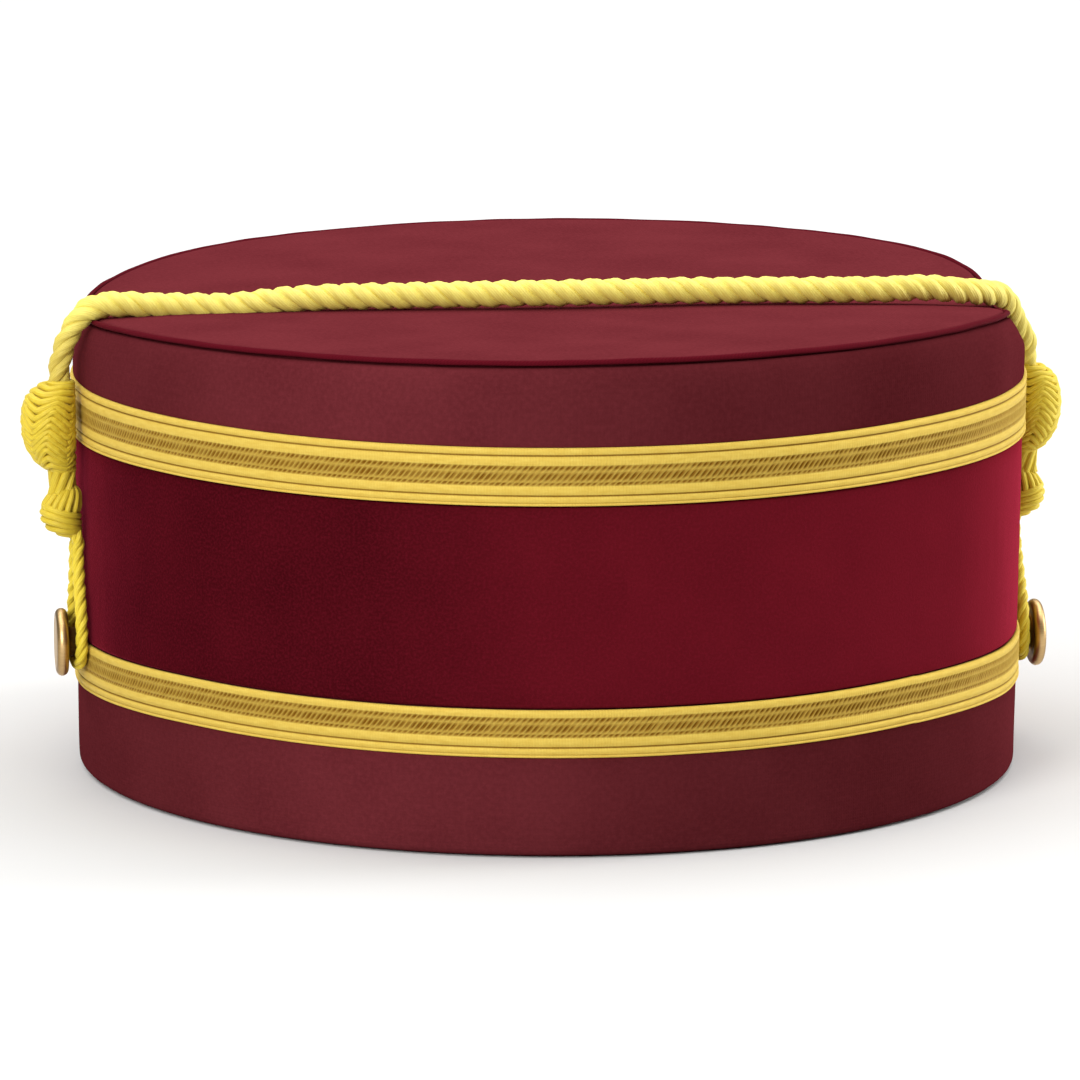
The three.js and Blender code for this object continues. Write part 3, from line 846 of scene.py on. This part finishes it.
def addButton(side):
    foot, back, radius, shank = button["foot"], button["headBack"], button["radius"], button["shankRadius"]
    edge = button["thickness"] / 2
    front = back + button["thickness"]
    # Foot, shank and collar; the head's back and rounded edge; the step inside the edge; the dome
    profile = [
        (foot, 0.02), (foot, 2.6), (foot + 0.15, shank), (back - 0.35, shank), (back - 0.02, 3.15),
        (back + 0.12, 3.4), (back + 0.1, 4.4), (back + 0.02, radius - edge - 0.2),
        *arcPoints((back + edge, radius - edge), (edge, edge), 180, 0, 15)[1:],
        (front + 0.02, radius - edge - 0.5), (front - 0.06, radius - edge - 0.75),
        (front - 0.02, radius - edge - 1.05),
    ]
    for share in (0.7, 0.5, 0.3, 0.15):
        profile.append((front + button["dome"] * (1 - share), (radius - edge) * share))
    profile = np.array([*profile, (front + button["dome"], 0.02)])
    turns = evenTurns(button["steps"])
    out, away = profile[:, :1], profile[:, 1:]
    headShare = np.clip((out - back + 0.4) / 0.4, 0, 1)
    lean = math.radians(side["buttonTilt"]) * headShare
    reach = out + button["standOff"] * headShare
    points = np.stack([
        reach - away * np.cos(turns) * np.sin(lean),
        away * np.cos(turns) * np.cos(lean) + (out - back) * np.sin(lean),
        button["height"] + away * np.sin(turns),
    ], -1)
    flatFace = radius - edge - 0.4
    patinaAndShade = np.where(out < back + 0.12, button["dullBack"], 0.0)
    rounded = (out > back + 0.12) * (away > flatFace)
    # Painted shade with patina: darker towards both sides of the rounded edge
    patinaAndShade = patinaAndShade + button["edgePatinaAndShade"] * np.abs((out - back - edge) / edge) ** 1.8 * rounded
    patinaAndShade = patinaAndShade + button["dullStep"] * (out > back + 2 * edge - 0.1) * (away < flatFace)
    shape = newShape()
    around = np.linspace(0, 2 * np.pi * radius, button["steps"] + 1)
    addSweep(shape, points, runAlong(profile), around, False, True, inwards=True,
             marks=np.clip(patinaAndShade + 0 * turns, 0, 1))
    lift = side["buttonLift"]
    return addSidePiece(side, shape, lift, "_brass_button", "_button", brassMaterial, 50)


for side in sides:
    addSlideKnot(side)
    addNeck(side)
    addEndKnot(side)
    addButton(side)
print("cords, knots and buttons done")


# Wool barathea: a fine, dull, closely woven cloth with a faint bloom, which shows almost no thread
def woolBarathea():
    material, tree, shader = startMaterial("wool barathea")
    threads = addNode(tree, "UVMap", "UV", {"uv_map": "threads"})
    shadeAndPatina = addNode(tree, "Attribute", "Fac", {"attribute_name": "shadeAndPatina"})
    # Threads are 0.25 mm in the real cloth; drawn 0.6 mm apart so that they show
    lieAndShade = {"Vector": threads, "Scale": waveStep / 0.6, "Distortion": 1.2, "Detail": 1.0, "Detail Scale": 1.5}
    warp = addNode(tree, "TexWave", "Fac", {"bands_direction": "X", **lieAndShade})
    weft = addNode(tree, "TexWave", "Fac", {"bands_direction": "Y", **lieAndShade})
    weave = addNode(tree, "Math", "Value", {"operation": "MULTIPLY", 0: warp, 1: weft})
    napAndShade = addNode(tree, "TexNoise", "Fac", {
        "Vector": threads, "Scale": 1.1, "Detail": 5.0, "Roughness": 0.65,
    })
    cloud = addNode(tree, "TexNoise", "Fac", {"Vector": threads, "Scale": 0.045, "Detail": 3.0})
    height = addNode(tree, "Math", "Value", {"operation": "MULTIPLY_ADD", 0: napAndShade, 1: 0.8, 2: weave})
    tone = addNode(tree, "MapRange", "Result", {"Value": cloud, "From Min": 0.35, "From Max": 0.65})
    wide = addNode(tree, "Mix", 2, {"data_type": "RGBA", 0: tone, 6: linear("#561e23"), 7: linear("#5e2328")})
    fibre = addNode(tree, "MapRange", "Result", {
        "Value": napAndShade, "From Min": 0.4, "From Max": 0.75, "To Max": 0.35,
    })
    colour = addNode(tree, "Mix", 2, {"data_type": "RGBA", 0: fibre, 6: wide, 7: linear("#762f36")})
    # Painted shade: the marks darken the cloth under the piping and on the front's right
    shadedCloth = addNode(tree, "Mix", 2, {"data_type": "RGBA", 0: shadeAndPatina, 6: colour, 7: linear("#2c0506")})
    bump = addNode(tree, "Bump", "Normal", {"Height": height, "Strength": 0.3, "Distance": 0.0001})
    setNode(tree, shader, {
        "Base Color": shadedCloth, "Normal": bump, "Roughness": 0.9, "Specular IOR Level": 0.0,
        "Sheen Weight": 0.02, "Sheen Roughness": 0.5, "Sheen Tint": linear("#c04a58"),
    })
    return material


# Bias strip of thinner cloth rolled over a cord: the grain runs slantwise round the welt
def pipingCloth():
    material, tree, shader = startMaterial("rolled bias cloth")
    threads = addNode(tree, "UVMap", "UV", {"uv_map": "threads"})
    turned = addNode(tree, "Mapping", "Vector", {"Vector": threads, "Rotation": (0, 0, math.radians(45))})
    lines = addNode(tree, "TexWave", "Fac", {
        "Vector": turned, "Scale": waveStep / 0.5, "Distortion": 2.5, "Detail": 3.0,
    })
    # The strip is drawn darker than the wall's cloth: painted shade of the groove it sits in
    colour = addNode(tree, "Mix", 2, {
        "data_type": "RGBA", 0: lines, 6: linear("#4a0813"), 7: linear("#560c19"),
    })
    bump = addNode(tree, "Bump", "Normal", {"Height": lines, "Strength": 0.15, "Distance": 0.0001})
    setNode(tree, shader, {
        "Base Color": colour, "Normal": bump, "Roughness": 0.85, "Specular IOR Level": 0.03,
    })
    return material


# Cotton velvet: short upright pile, deep and dark from the front, paler and pinker where seen edge on
def cottonVelvet():
    material, tree, shader = startMaterial("cotton velvet")
    threads = addNode(tree, "UVMap", "UV", {"uv_map": "threads"})
    # Tufts are 0.2 mm in the real pile; drawn about 0.6 mm so that they show
    tufts = addNode(tree, "TexNoise", "Fac", {
        "Vector": threads, "Scale": 1.9, "Detail": 3.0, "Roughness": 0.6,
    })
    brushed = addNode(tree, "TexNoise", "Fac", {
        "Vector": threads, "Scale": 0.06, "Detail": 3.0, "Roughness": 0.5,
    })
    # Painted light and shade round the band: darker on the left of the front and paler to the right, standing
    # in for the pile that lies one way, so that one side drinks the light and the other returns it
    whereRound = addNode(tree, "SeparateXYZ", "X", {0: threads})
    share = addNode(tree, "Math", "Value", {"operation": "DIVIDE", 0: whereRound, 1: ovalLength})
    lieAndShade = addNode(tree, "ValToRGB", "Color", {"Fac": share})
    setStops(lieAndShade.node.color_ramp, [
        (0.0, 0.29), (0.06, 0.34), (0.13, 0.42), (0.2, 0.78), (0.25, 0.7), (0.4, 0.6), (0.6, 0.5),
        (0.75, 0.1), (0.82, 0.0), (0.92, 0.04), (1.0, 0.29),
    ])
    brushAndShade = addNode(tree, "Math", "Value", {
        "operation": "MULTIPLY_ADD", "use_clamp": True, 0: brushed, 1: 0.2, 2: lieAndShade,
    })
    # Painted shade and light between a dark and a pale red, with random brushing
    wide = addNode(tree, "Mix", 2, {"data_type": "RGBA", 0: brushAndShade, 6: linear("#2c0408"), 7: linear("#7a1a26")})
    tips = addNode(tree, "MapRange", "Result", {
        "Value": tufts, "From Min": 0.42, "From Max": 0.72, "To Max": 0.24,
    })
    colour = addNode(tree, "Mix", 2, {"data_type": "RGBA", 0: tips, 6: wide, 7: linear("#78182a")})
    height = addNode(tree, "Math", "Value", {"operation": "MULTIPLY_ADD", 0: brushed, 1: 1.4, 2: tufts})
    bump = addNode(tree, "Bump", "Normal", {"Height": height, "Strength": 0.5, "Distance": 0.0002})
    setNode(tree, shader, {
        "Base Color": colour, "Normal": bump, "Roughness": 0.95, "Specular IOR Level": 0.0,
        "Sheen Weight": 0.8, "Sheen Roughness": 0.28, "Sheen Tint": linear("#c23a56"),
    })
    return material


clothMaterial = woolBarathea()
pipingMaterial = pipingCloth()
velvetMaterial = cottonVelvet()

wall = {
    "stations": 360,
    "foldRadius": 1.3,
    "seamGroove": 0.35,
    "seamWidth": 0.45,
    # Painted shade under the piping, and the heights over which it fades in
    "clothShade": 0.5,
    "creaseShadeHeights": (88.85, 89.15),
    # Place round the cap from the middle of the front, and how much painted shade the cloth gets there
    "napAndShade": [
        (0, 0.26), (0.04, 0.38), (0.09, 0.5), (0.13, 0.43), (0.18, 0.2), (0.23, 0.15), (0.5, 0.12),
        (0.75, 0.2), (0.835, 0.28), (0.88, 0.1), (0.922, 0.0), (0.96, 0.08), (1, 0.26),
    ],
}


# Stations round the cap, close together at the back seam
def stationsRound(count):
    even = evenArcs(count)
    back = ovalLength / 2
    near = back + np.array([-4.0, -2.4, -1.2, -0.7, -0.35, 0.0, 0.35, 0.7, 1.2, 2.4, 4.0])
    far = even[np.abs(even - back) > 4.4]
    return np.sort(np.concatenate([far, near]))


# Groove of an upright seam, with a slight swell at each side of it
def backSeam(arcs, depth, width):
    away = np.abs(arcs - ovalLength / 2)
    return -depth * bell(away, width) + 0.22 * depth * bell(away - 2.2 * width, width)


# Slight hand-made unevenness that closes on itself round the cap
def softness(arcs, heights):
    turn = turnsAt(arcs)
    wide = 0.09 * np.sin(3 * turn + 0.4 + 0.02 * heights) + 0.07 * np.sin(5 * turn + 2.2 - 0.03 * heights)
    fine = 0.035 * np.sin(17 * turn + 1.1 + 0.06 * heights) + 0.025 * np.sin(29 * turn + 0.05 * heights)
    return wide + fine


# Small puckers where the cloth is gathered into the crown's seam
def puckers(arcs, heights):
    turn = turnsAt(arcs)
    gathers = 0.05 * np.sin(57 * turn + 2 * np.sin(7 * turn)) + 0.04 * np.sin(83 * turn + 1.3)
    return bell(cap["crownTop"] - heights, 4.5) * gathers


def addWallCloth():
    fold, low, high = wall["foldRadius"], cap["lowerLaceBottom"], cap["upperLaceTop"]
    face, edge = wallFace(low), cap["crownOutside"] - cap["seamAllowance"]
    outer = [(-2.1, 0.0), (-1.7, 0.0), *arcPoints((-fold, fold), (fold, fold), -90, 0, 7)]
    for height in (2, 4, 6.5, 9, 11.5, 14, 16.5, 17.8):
        outer.append((wallFace(height), height))
    outer += [(face, low - 0.3), (face - 0.06, low - 0.06), (face - 0.8, low + 0.1)]
    # The face lies deeper behind the laces, and deeper again behind the velvet
    for height, depth in (
        (low + 4.4, 0.8), (cap["lowerLaceTop"], 0.8), (cap["lowerLaceTop"] + 0.15, 1.4),
        (40.0, 1.4), (53.0, 1.4), (cap["upperLaceBottom"] - 0.15, 1.4), (cap["upperLaceBottom"], 0.8),
        (71.0, 0.8), (high - 0.1, 0.8), (high + 0.06, 0.06), (high + 0.3, 0.0), (high + 0.9, 0.0),
        (78.2, 0.0), (79.3, 0.0),
    ):
        outer.append((wallFace(height) - depth, height))
    shoulder = (cap["pipingOutside"], cap["shoulderBottom"])
    outer += arcPoints(shoulder, (cap["shoulderTurn"], cap["shoulderRise"]), 0, 90, 15)
    outer += [(-1.45, 89.15), (-1.8, 88.9), (-2.0, 88.5), (-2.2, cap["seamTop"])]
    inner = [(edge + 0.3, cap["seamTop"]), (edge, 87.9), (edge, 86.5), (edge + 0.3, cap["seamUnderside"])]
    inner += [(-4.7, cap["seamUnderside"]), (-4.1, 85.9), (-3.2, 84.4), (-2.1, 81.5)]
    for height in (76.0, 66.0, 54.0, 42.0, 30.0, 18.0, 8.0, 3.0):
        inner.append((wallFace(height) - cap["wallThickness"], height))
    inner += arcPoints((-2.2, 0.8), (0.8, 0.8), 180, 250, 5)
    section = np.array(outer + inner)
    front = np.arange(len(section)) < len(outer)
    arcs = stationsRound(wall["stations"])
    places = arcs[:, None]
    heights = np.broadcast_to(section[:, 1], (len(arcs), len(section)))
    outside = section[:, 0] + softness(places, heights) * np.clip(heights / 6, 0, 1)
    groove = backSeam(places, wall["seamGroove"], wall["seamWidth"])
    outside = outside + front * (groove + puckers(places, heights))
    # Painted shade: the cloth is darkened where it turns in under the piping. Round the cap it is also
    # painted darker on the front's right and paler on the left of the middle, where the light falls unevenly.
    clothShade = risesTo(heights, *wall["creaseShadeHeights"]) * front * wall["clothShade"]
    clothShade = np.maximum(clothShade, np.interp(places / ovalLength, *zip(*wall["napAndShade"])))
    run = runAlong(section)
    shape = newShape()
    addBand(shape, arcs, places, outside, heights, np.append(run, run[-1] + 1.0), clothShade)
    return addPiece("wall_cloth", shape, clothMaterial, "side_wall", sharpAngle=60)


addWallCloth()

crown = {
    "spokes": 240,
    "sag": 0.35,
    # The rolled edge: how far inside the seam, and how far below the crown's top
    "edge": [
        (0.5, 0.02), (0.1, 0.09), (-0.15, 0.2), (-0.32, 0.42), (-0.36, 0.75), (-0.3, 1.1), (0.0, 1.7),
        (0.5, 2.0),
    ],
}


# Crown: a flat oval of cloth, a little slack, rolled down into the seam at its edge
def addCrownCloth():
    spokes, shape, rows = crown["spokes"], newShape(), []
    arcs = evenArcs(spokes)
    point, outward = ovalAt(arcs)
    rim = point + outward * cap["crownOutside"]
    for share in [*np.linspace(0.04, 0.9, 24), *np.linspace(0.915, 0.985, 8)]:
        flat = rim * share
        slack = -crown["sag"] * (1 - share ** 2) ** 1.5
        ripple = 0.07 * np.sin(flat[:, 0] * 0.055 + 1.0) * np.sin(flat[:, 1] * 0.048 + 0.4)
        ripple = ripple + 0.035 * np.sin(flat[:, 0] * 0.12 + flat[:, 1] * 0.09)
        pull = 0.05 * share ** 12 * np.sin(2 * np.pi * 47 * arcs / ovalLength + 1.5 * np.sin(arcs * 0.06))
        height = cap["crownTop"] + slack + ripple * (1 - share ** 10) + pull + 0.12 * share ** 6
        rows.append(np.column_stack([flat, height]))
    for inset, drop in crown["edge"]:
        flat = point + outward * (cap["crownOutside"] - inset)
        rows.append(np.column_stack([flat, np.full(spokes, cap["crownTop"] + 0.08 - drop)]))
    for share in (0.9, 0.6, 0.3, 0.05):
        rows.append(np.column_stack([rim * share, np.full(spokes, cap["crownUnderside"])]))
    along, around = np.arange(len(rows) + 1.0), np.arange(spokes + 1.0)
    start = addSweep(shape, wornForm(np.array(rows)), along, around, False, True, inwards=True)
    middles = [(0, 0, cap["crownTop"] - crown["sag"]), (0, 0, cap["crownUnderside"])]
    addEnds(shape, start, len(rows), spokes, middles)
    piece = addPiece("crown_cloth", shape, clothMaterial, "crown_top", sharpAngle=50)
    # The cloth's threads run straight across the crown
    mesh = piece.data
    places = np.zeros(len(mesh.vertices) * 3)
    mesh.vertices.foreach_get("co", places)
    corners = np.zeros(len(mesh.loops), int)
    mesh.loops.foreach_get("vertex_index", corners)
    flat = (places.reshape(-1, 3)[corners][:, :2] / mm).astype(np.float32)
    mesh.uv_layers["threads"].data.foreach_set("uv", flat.ravel())
    return piece


addCrownCloth()

piping = {"radius": 0.52, "height": 90.08, "stations": 480, "sides": 14}


def addPiping():
    arcs = evenArcs(piping["stations"])
    turn = turnsAt(arcs)
    wave = 0.05 * np.sin(7 * turn + 0.5) + 0.04 * np.sin(19 * turn + 1.9) + 0.03 * np.sin(43 * turn)
    radius = piping["radius"] * (1 + 0.04 * np.sin(31 * turn) + 0.03 * np.sin(53 * turn + 1))
    turns = evenTurns(piping["sides"])
    outside = cap["pipingOutside"] + 0.5 * wave[:, None] + radius[:, None] * np.cos(turns)
    heights = piping["height"] + 0.6 * wave[:, None] + radius[:, None] * np.sin(turns)
    around = np.linspace(0, 2 * np.pi * piping["radius"], piping["sides"] + 1)
    shape = newShape()
    addBand(shape, arcs, arcs[:, None], outside, heights, around)
    return addPiece("piping_welt", shape, pipingMaterial, "crown_piping")


addPiping()

velvet = {
    "bottom": 27.95,
    "top": 65.35,
    "sink": 0.1,
    "thickness": 1.0,
    "stations": 420,
    "rows": 14,
    "seamGroove": 0.3,
    "seamWidth": 0.5,
    "roughness": 0.02,
}


def addVelvet():
    bottom, top = velvet["bottom"], velvet["top"]
    section = [(velvet["thickness"], bottom), (0.35, bottom), (0.1, bottom + 0.15), (0.0, bottom + 0.5)]
    for i in range(1, velvet["rows"]):
        section.append((0.0, bottom + 0.5 + (top - bottom - 1.0) * i / velvet["rows"]))
    section += [(0.0, top - 0.5), (0.1, top - 0.15), (0.35, top), (velvet["thickness"], top)]
    section = np.array(section)
    arcs = stationsRound(velvet["stations"])
    places = arcs[:, None]
    heights = np.broadcast_to(section[:, 1], (len(arcs), len(section)))
    outside = wallFace(heights) - velvet["sink"] - section[:, 0]
    outside = outside + softness(places, heights)
    pile = (section[:, 0] < 0.5) * 1.0
    groove = backSeam(places, velvet["seamGroove"], velvet["seamWidth"])
    outside = outside + pile * (groove + grain.normal(0, velvet["roughness"], heights.shape))
    run = runAlong(section)
    shape = newShape()
    addBand(shape, arcs, places, outside, heights, np.append(run, run[-1] + 1.0))
    return addPiece("velvet_pile_band", shape, velvetMaterial, "velvet_band", sharpAngle=60)


addVelvet()
print("cloth, crown, piping and velvet done")


# Gold lace: metallised thread woven in ribs. Plain stripes are pale and satiny, the twilled middle is
# drawn warmer and darker, and painted shade darkens the gaps between its slanting threads and its grooves.
def metalThreadLace():
    material, tree, shader = startMaterial("metal thread lace")
    threads = addNode(tree, "UVMap", "UV", {"uv_map": "threads"})
    shadeAndPatina = addNode(tree, "Attribute", "Fac", {"attribute_name": "shadeAndPatina"})
    # Weft threads are 0.2 mm in the real lace; drawn 0.55 mm apart so that they show
    weft = addNode(tree, "TexWave", "Fac", {
        "Vector": threads, "bands_direction": "X", "Scale": waveStep / 0.55, "Distortion": 2.5,
        "Detail": 2.0, "Detail Scale": 1.2,
    })
    stretched = addNode(tree, "Mapping", "Vector", {"Vector": threads, "Scale": (0.35, 1.6, 1.0)})
    shine = addNode(tree, "TexNoise", "Fac", {
        "Vector": stretched, "Scale": 1.0, "Detail": 4.0, "Roughness": 0.6,
    })
    pale = addNode(tree, "Mix", 2, {
        "data_type": "RGBA", 0: shine, 6: linear("#c39f3c"), 7: linear("#dcc360"),
    })
    # Painted shade: the marks darken the lace's gaps, grooves, twill and back towards brown; at the back seam
    # they draw its dark joint
    depth = addNode(tree, "ValToRGB", "Color", {"Fac": shadeAndPatina})
    setStops(depth.node.color_ramp, [(0.0, 0.0), (0.3, 0.35), (1.0, 1.0)])
    colour = addNode(tree, "Mix", 2, {"data_type": "RGBA", 0: depth, 6: pale, 7: linear("#704806")})
    lines = addNode(tree, "MapRange", "Result", {
        "Value": weft, "From Max": 0.5, "To Min": 0.12, "To Max": 0.0,
    })
    threaded = addNode(tree, "Mix", 2, {"data_type": "RGBA", 0: lines, 6: colour, 7: linear("#b98a2c")})
    bump = addNode(tree, "Bump", "Normal", {"Height": weft, "Strength": 0.3, "Distance": 0.0001})
    setNode(tree, shader, {
        "Base Color": threaded, "Normal": bump, "Metallic": 0.1, "Roughness": 0.6, "Specular IOR Level": 0.05,
    })
    return material


laceMaterial = metalThreadLace()

lace = {
    "pitch": 1.09,
    "columns": 4,
    "lean": 0.79,
    "thickness": 0.5,
    "slitDepth": 0.22,
    "threadCrown": 0.08,
    "twillStand": 0.42,
    "twillMark": 0.36,
    "backMark": 0.35,
    "seamGroove": 0.4,
    "seamWidth": 0.3,
    "seamMark": 0.8,
}
# Rows of the lace: height above its lower edge, how far it stands out of the wall's face, and how
# much painted shade it gets
laceEdgeRows = [
    (0.0, 0.05, 0), (0.1, 0.42, 0), (0.3, 0.56, 0), (0.5, 0.4, 0), (0.6, 0.2, 0.4), (0.72, 0.42, 0),
    (1.25, 0.52, 0), (1.72, 0.44, 0), (1.84, 0.08, 0.75), (2.0, 0.06, 0.75), (2.14, 0.4, 0), (2.9, 0.46, 0),
    (3.66, 0.42, 0),
]
twillRows = [3.84, 4.08, 4.32, 4.52, 4.74, 5.06, 5.42, 5.8, 6.12, 6.4, 6.74, 6.96, 7.2, 7.44]
upperLaceRows = [
    (7.62, 0.42, 0), (8.4, 0.48, 0), (9.16, 0.44, 0), (9.28, 0.08, 0.75), (9.44, 0.06, 0.75), (9.58, 0.38, 0),
    (9.9, 0.5, 0), (10.3, 0.52, 0), (10.66, 0.36, 0), (10.8, 0.02, 0),
]
lowerLaceRows = [(7.62, 0.42, 0), (8.2, 0.48, 0), (8.74, 0.42, 0), (8.9, 0.08, 0)]
# Tiers of gaps in the twill: middle height, half height, and where in the pitch they fall
twillTiers = [(4.12, 0.38, 0.5), (5.45, 0.95, 0.0), (7.08, 0.5, 0.0)]


def addLace(name, node, bottom, topRows):
    repeats = int(round(ovalLength / lace["pitch"]))
    columns = repeats * lace["columns"]
    arcs = evenArcs(columns)
    phase = np.arange(columns) / lace["columns"] % 1.0
    whole = np.arange(columns) // lace["columns"]
    uneven = [0.85 + 0.35 * grain.random(repeats) for _ in twillTiers]
    rows = [(0.0, -lace["thickness"], lace["backMark"]), *laceEdgeRows]
    rows += [(height, lace["twillStand"], lace["twillMark"]) for height in twillRows]
    rows += [*topRows, (topRows[-1][0], -lace["thickness"], lace["backMark"])]
    outside, marks = [], []
    for height, stand, mark in rows:
        reach, shade = np.full(columns, stand), np.full(columns, float(mark))
        if height in twillRows:
            reach = reach + lace["threadCrown"] * (0.5 - 0.5 * np.cos(2 * np.pi * phase)) - 0.04
            for (centre, half, place), depth in zip(twillTiers, uneven):
                window = max(1 - abs((height - centre) / half) ** 3, 0)
                away = np.abs((phase - place + 0.5) % 1.0 - 0.5)
                which = (whole + (place > 0.4) * (phase > 0.5)) % repeats
                cut = np.clip(1.6 * (1 - away / 0.5), 0, 1) * window * depth[which]
                reach = reach - lace["slitDepth"] * cut
                # Painted shade in each gap of the twill
                shade = np.maximum(shade, cut)
        outside.append(wallFace(bottom + height) + reach)
        marks.append(shade)
    outside, marks = np.array(outside).T, np.clip(np.array(marks).T, 0, 1)
    # The twill's threads slant, and carry all above them along
    levels = np.array([row[0] for row in rows])
    middle = 0.5 * (twillRows[0] + twillRows[-1])
    places = arcs[:, None] + lace["lean"] * (np.clip(levels, twillRows[0], twillRows[-1]) - middle)
    heights = np.broadcast_to(bottom + levels, outside.shape)
    outside = outside + softness(places, heights)
    # The two ends of the lace meet at the middle of the back
    join = bell(np.mod(places, ovalLength) - ovalLength / 2, lace["seamWidth"])
    outside = outside - lace["seamGroove"] * join
    marks = np.maximum(marks, lace["seamMark"] * join)
    shape = newShape()
    addBand(shape, arcs, places, outside, heights, np.append(levels, levels[-1] + 1.0), marks)
    return addPiece(name, shape, laceMaterial, node)


addLace("lower_gold_lace", "lower_lace", cap["lowerLaceBottom"], lowerLaceRows)
addLace("upper_gold_lace", "upper_lace", cap["upperLaceBottom"], upperLaceRows)
print("laces done")


# Pale floor, and soft studio light from above, from the front on the left and from the right
def paleFloor():
    material, tree, shader = startMaterial("matt white board")
    setNode(tree, shader, {"Base Color": linear("#cfcfce"), "Roughness": 0.9, "Specular IOR Level": 0.1})
    mesh = bpy.data.meshes.new("floor")
    reach, level = 14.0, -0.0003
    corners = [(-reach, -reach, level), (reach, -reach, level), (reach, reach, level), (-reach, reach, level)]
    mesh.from_pydata(corners, [], [(0, 1, 2, 3)])
    floor = bpy.data.objects.new("floor", mesh)
    floor.data.materials.append(material)
    bpy.context.scene.collection.objects.link(floor)


worldStrength = 0.2
studioLights = [
    {"name": "overhead box", "place": (0.0, 0.7, 2.2), "aim": (0, 0.7, 0), "size": (4.8, 3.8), "power": 142},
    {"name": "left key", "place": (-1.3, -1.85, 1.0), "aim": (0, 0, 0.05), "size": (0.9, 0.9), "power": 42},
    {"name": "right rim", "place": (2.2, 0.3, 0.6), "aim": (0, 0, 0.05), "size": (0.8, 1.2), "power": 38},
]


def addStudio():
    for light in studioLights:
        data = bpy.data.lights.new(light["name"], "AREA")
        data.shape = "RECTANGLE"
        data.size, data.size_y = light["size"]
        data.energy = light["power"]
        lamp = bpy.data.objects.new(light["name"], data)
        lamp.location = light["place"]
        towards = Vector(light["aim"]) - Vector(light["place"])
        lamp.rotation_euler = towards.to_track_quat("-Z", "Y").to_euler()
        bpy.context.scene.collection.objects.link(lamp)
    world = bpy.data.worlds.new("white studio")
    world.use_nodes = True
    world.node_tree.nodes["Background"].inputs["Color"].default_value = (1, 1, 1, 1)
    world.node_tree.nodes["Background"].inputs["Strength"].default_value = worldStrength
    bpy.context.scene.world = world
    bpy.context.scene.view_settings.view_transform = "Standard"


paleFloor()
addStudio()
print("floor and light done")
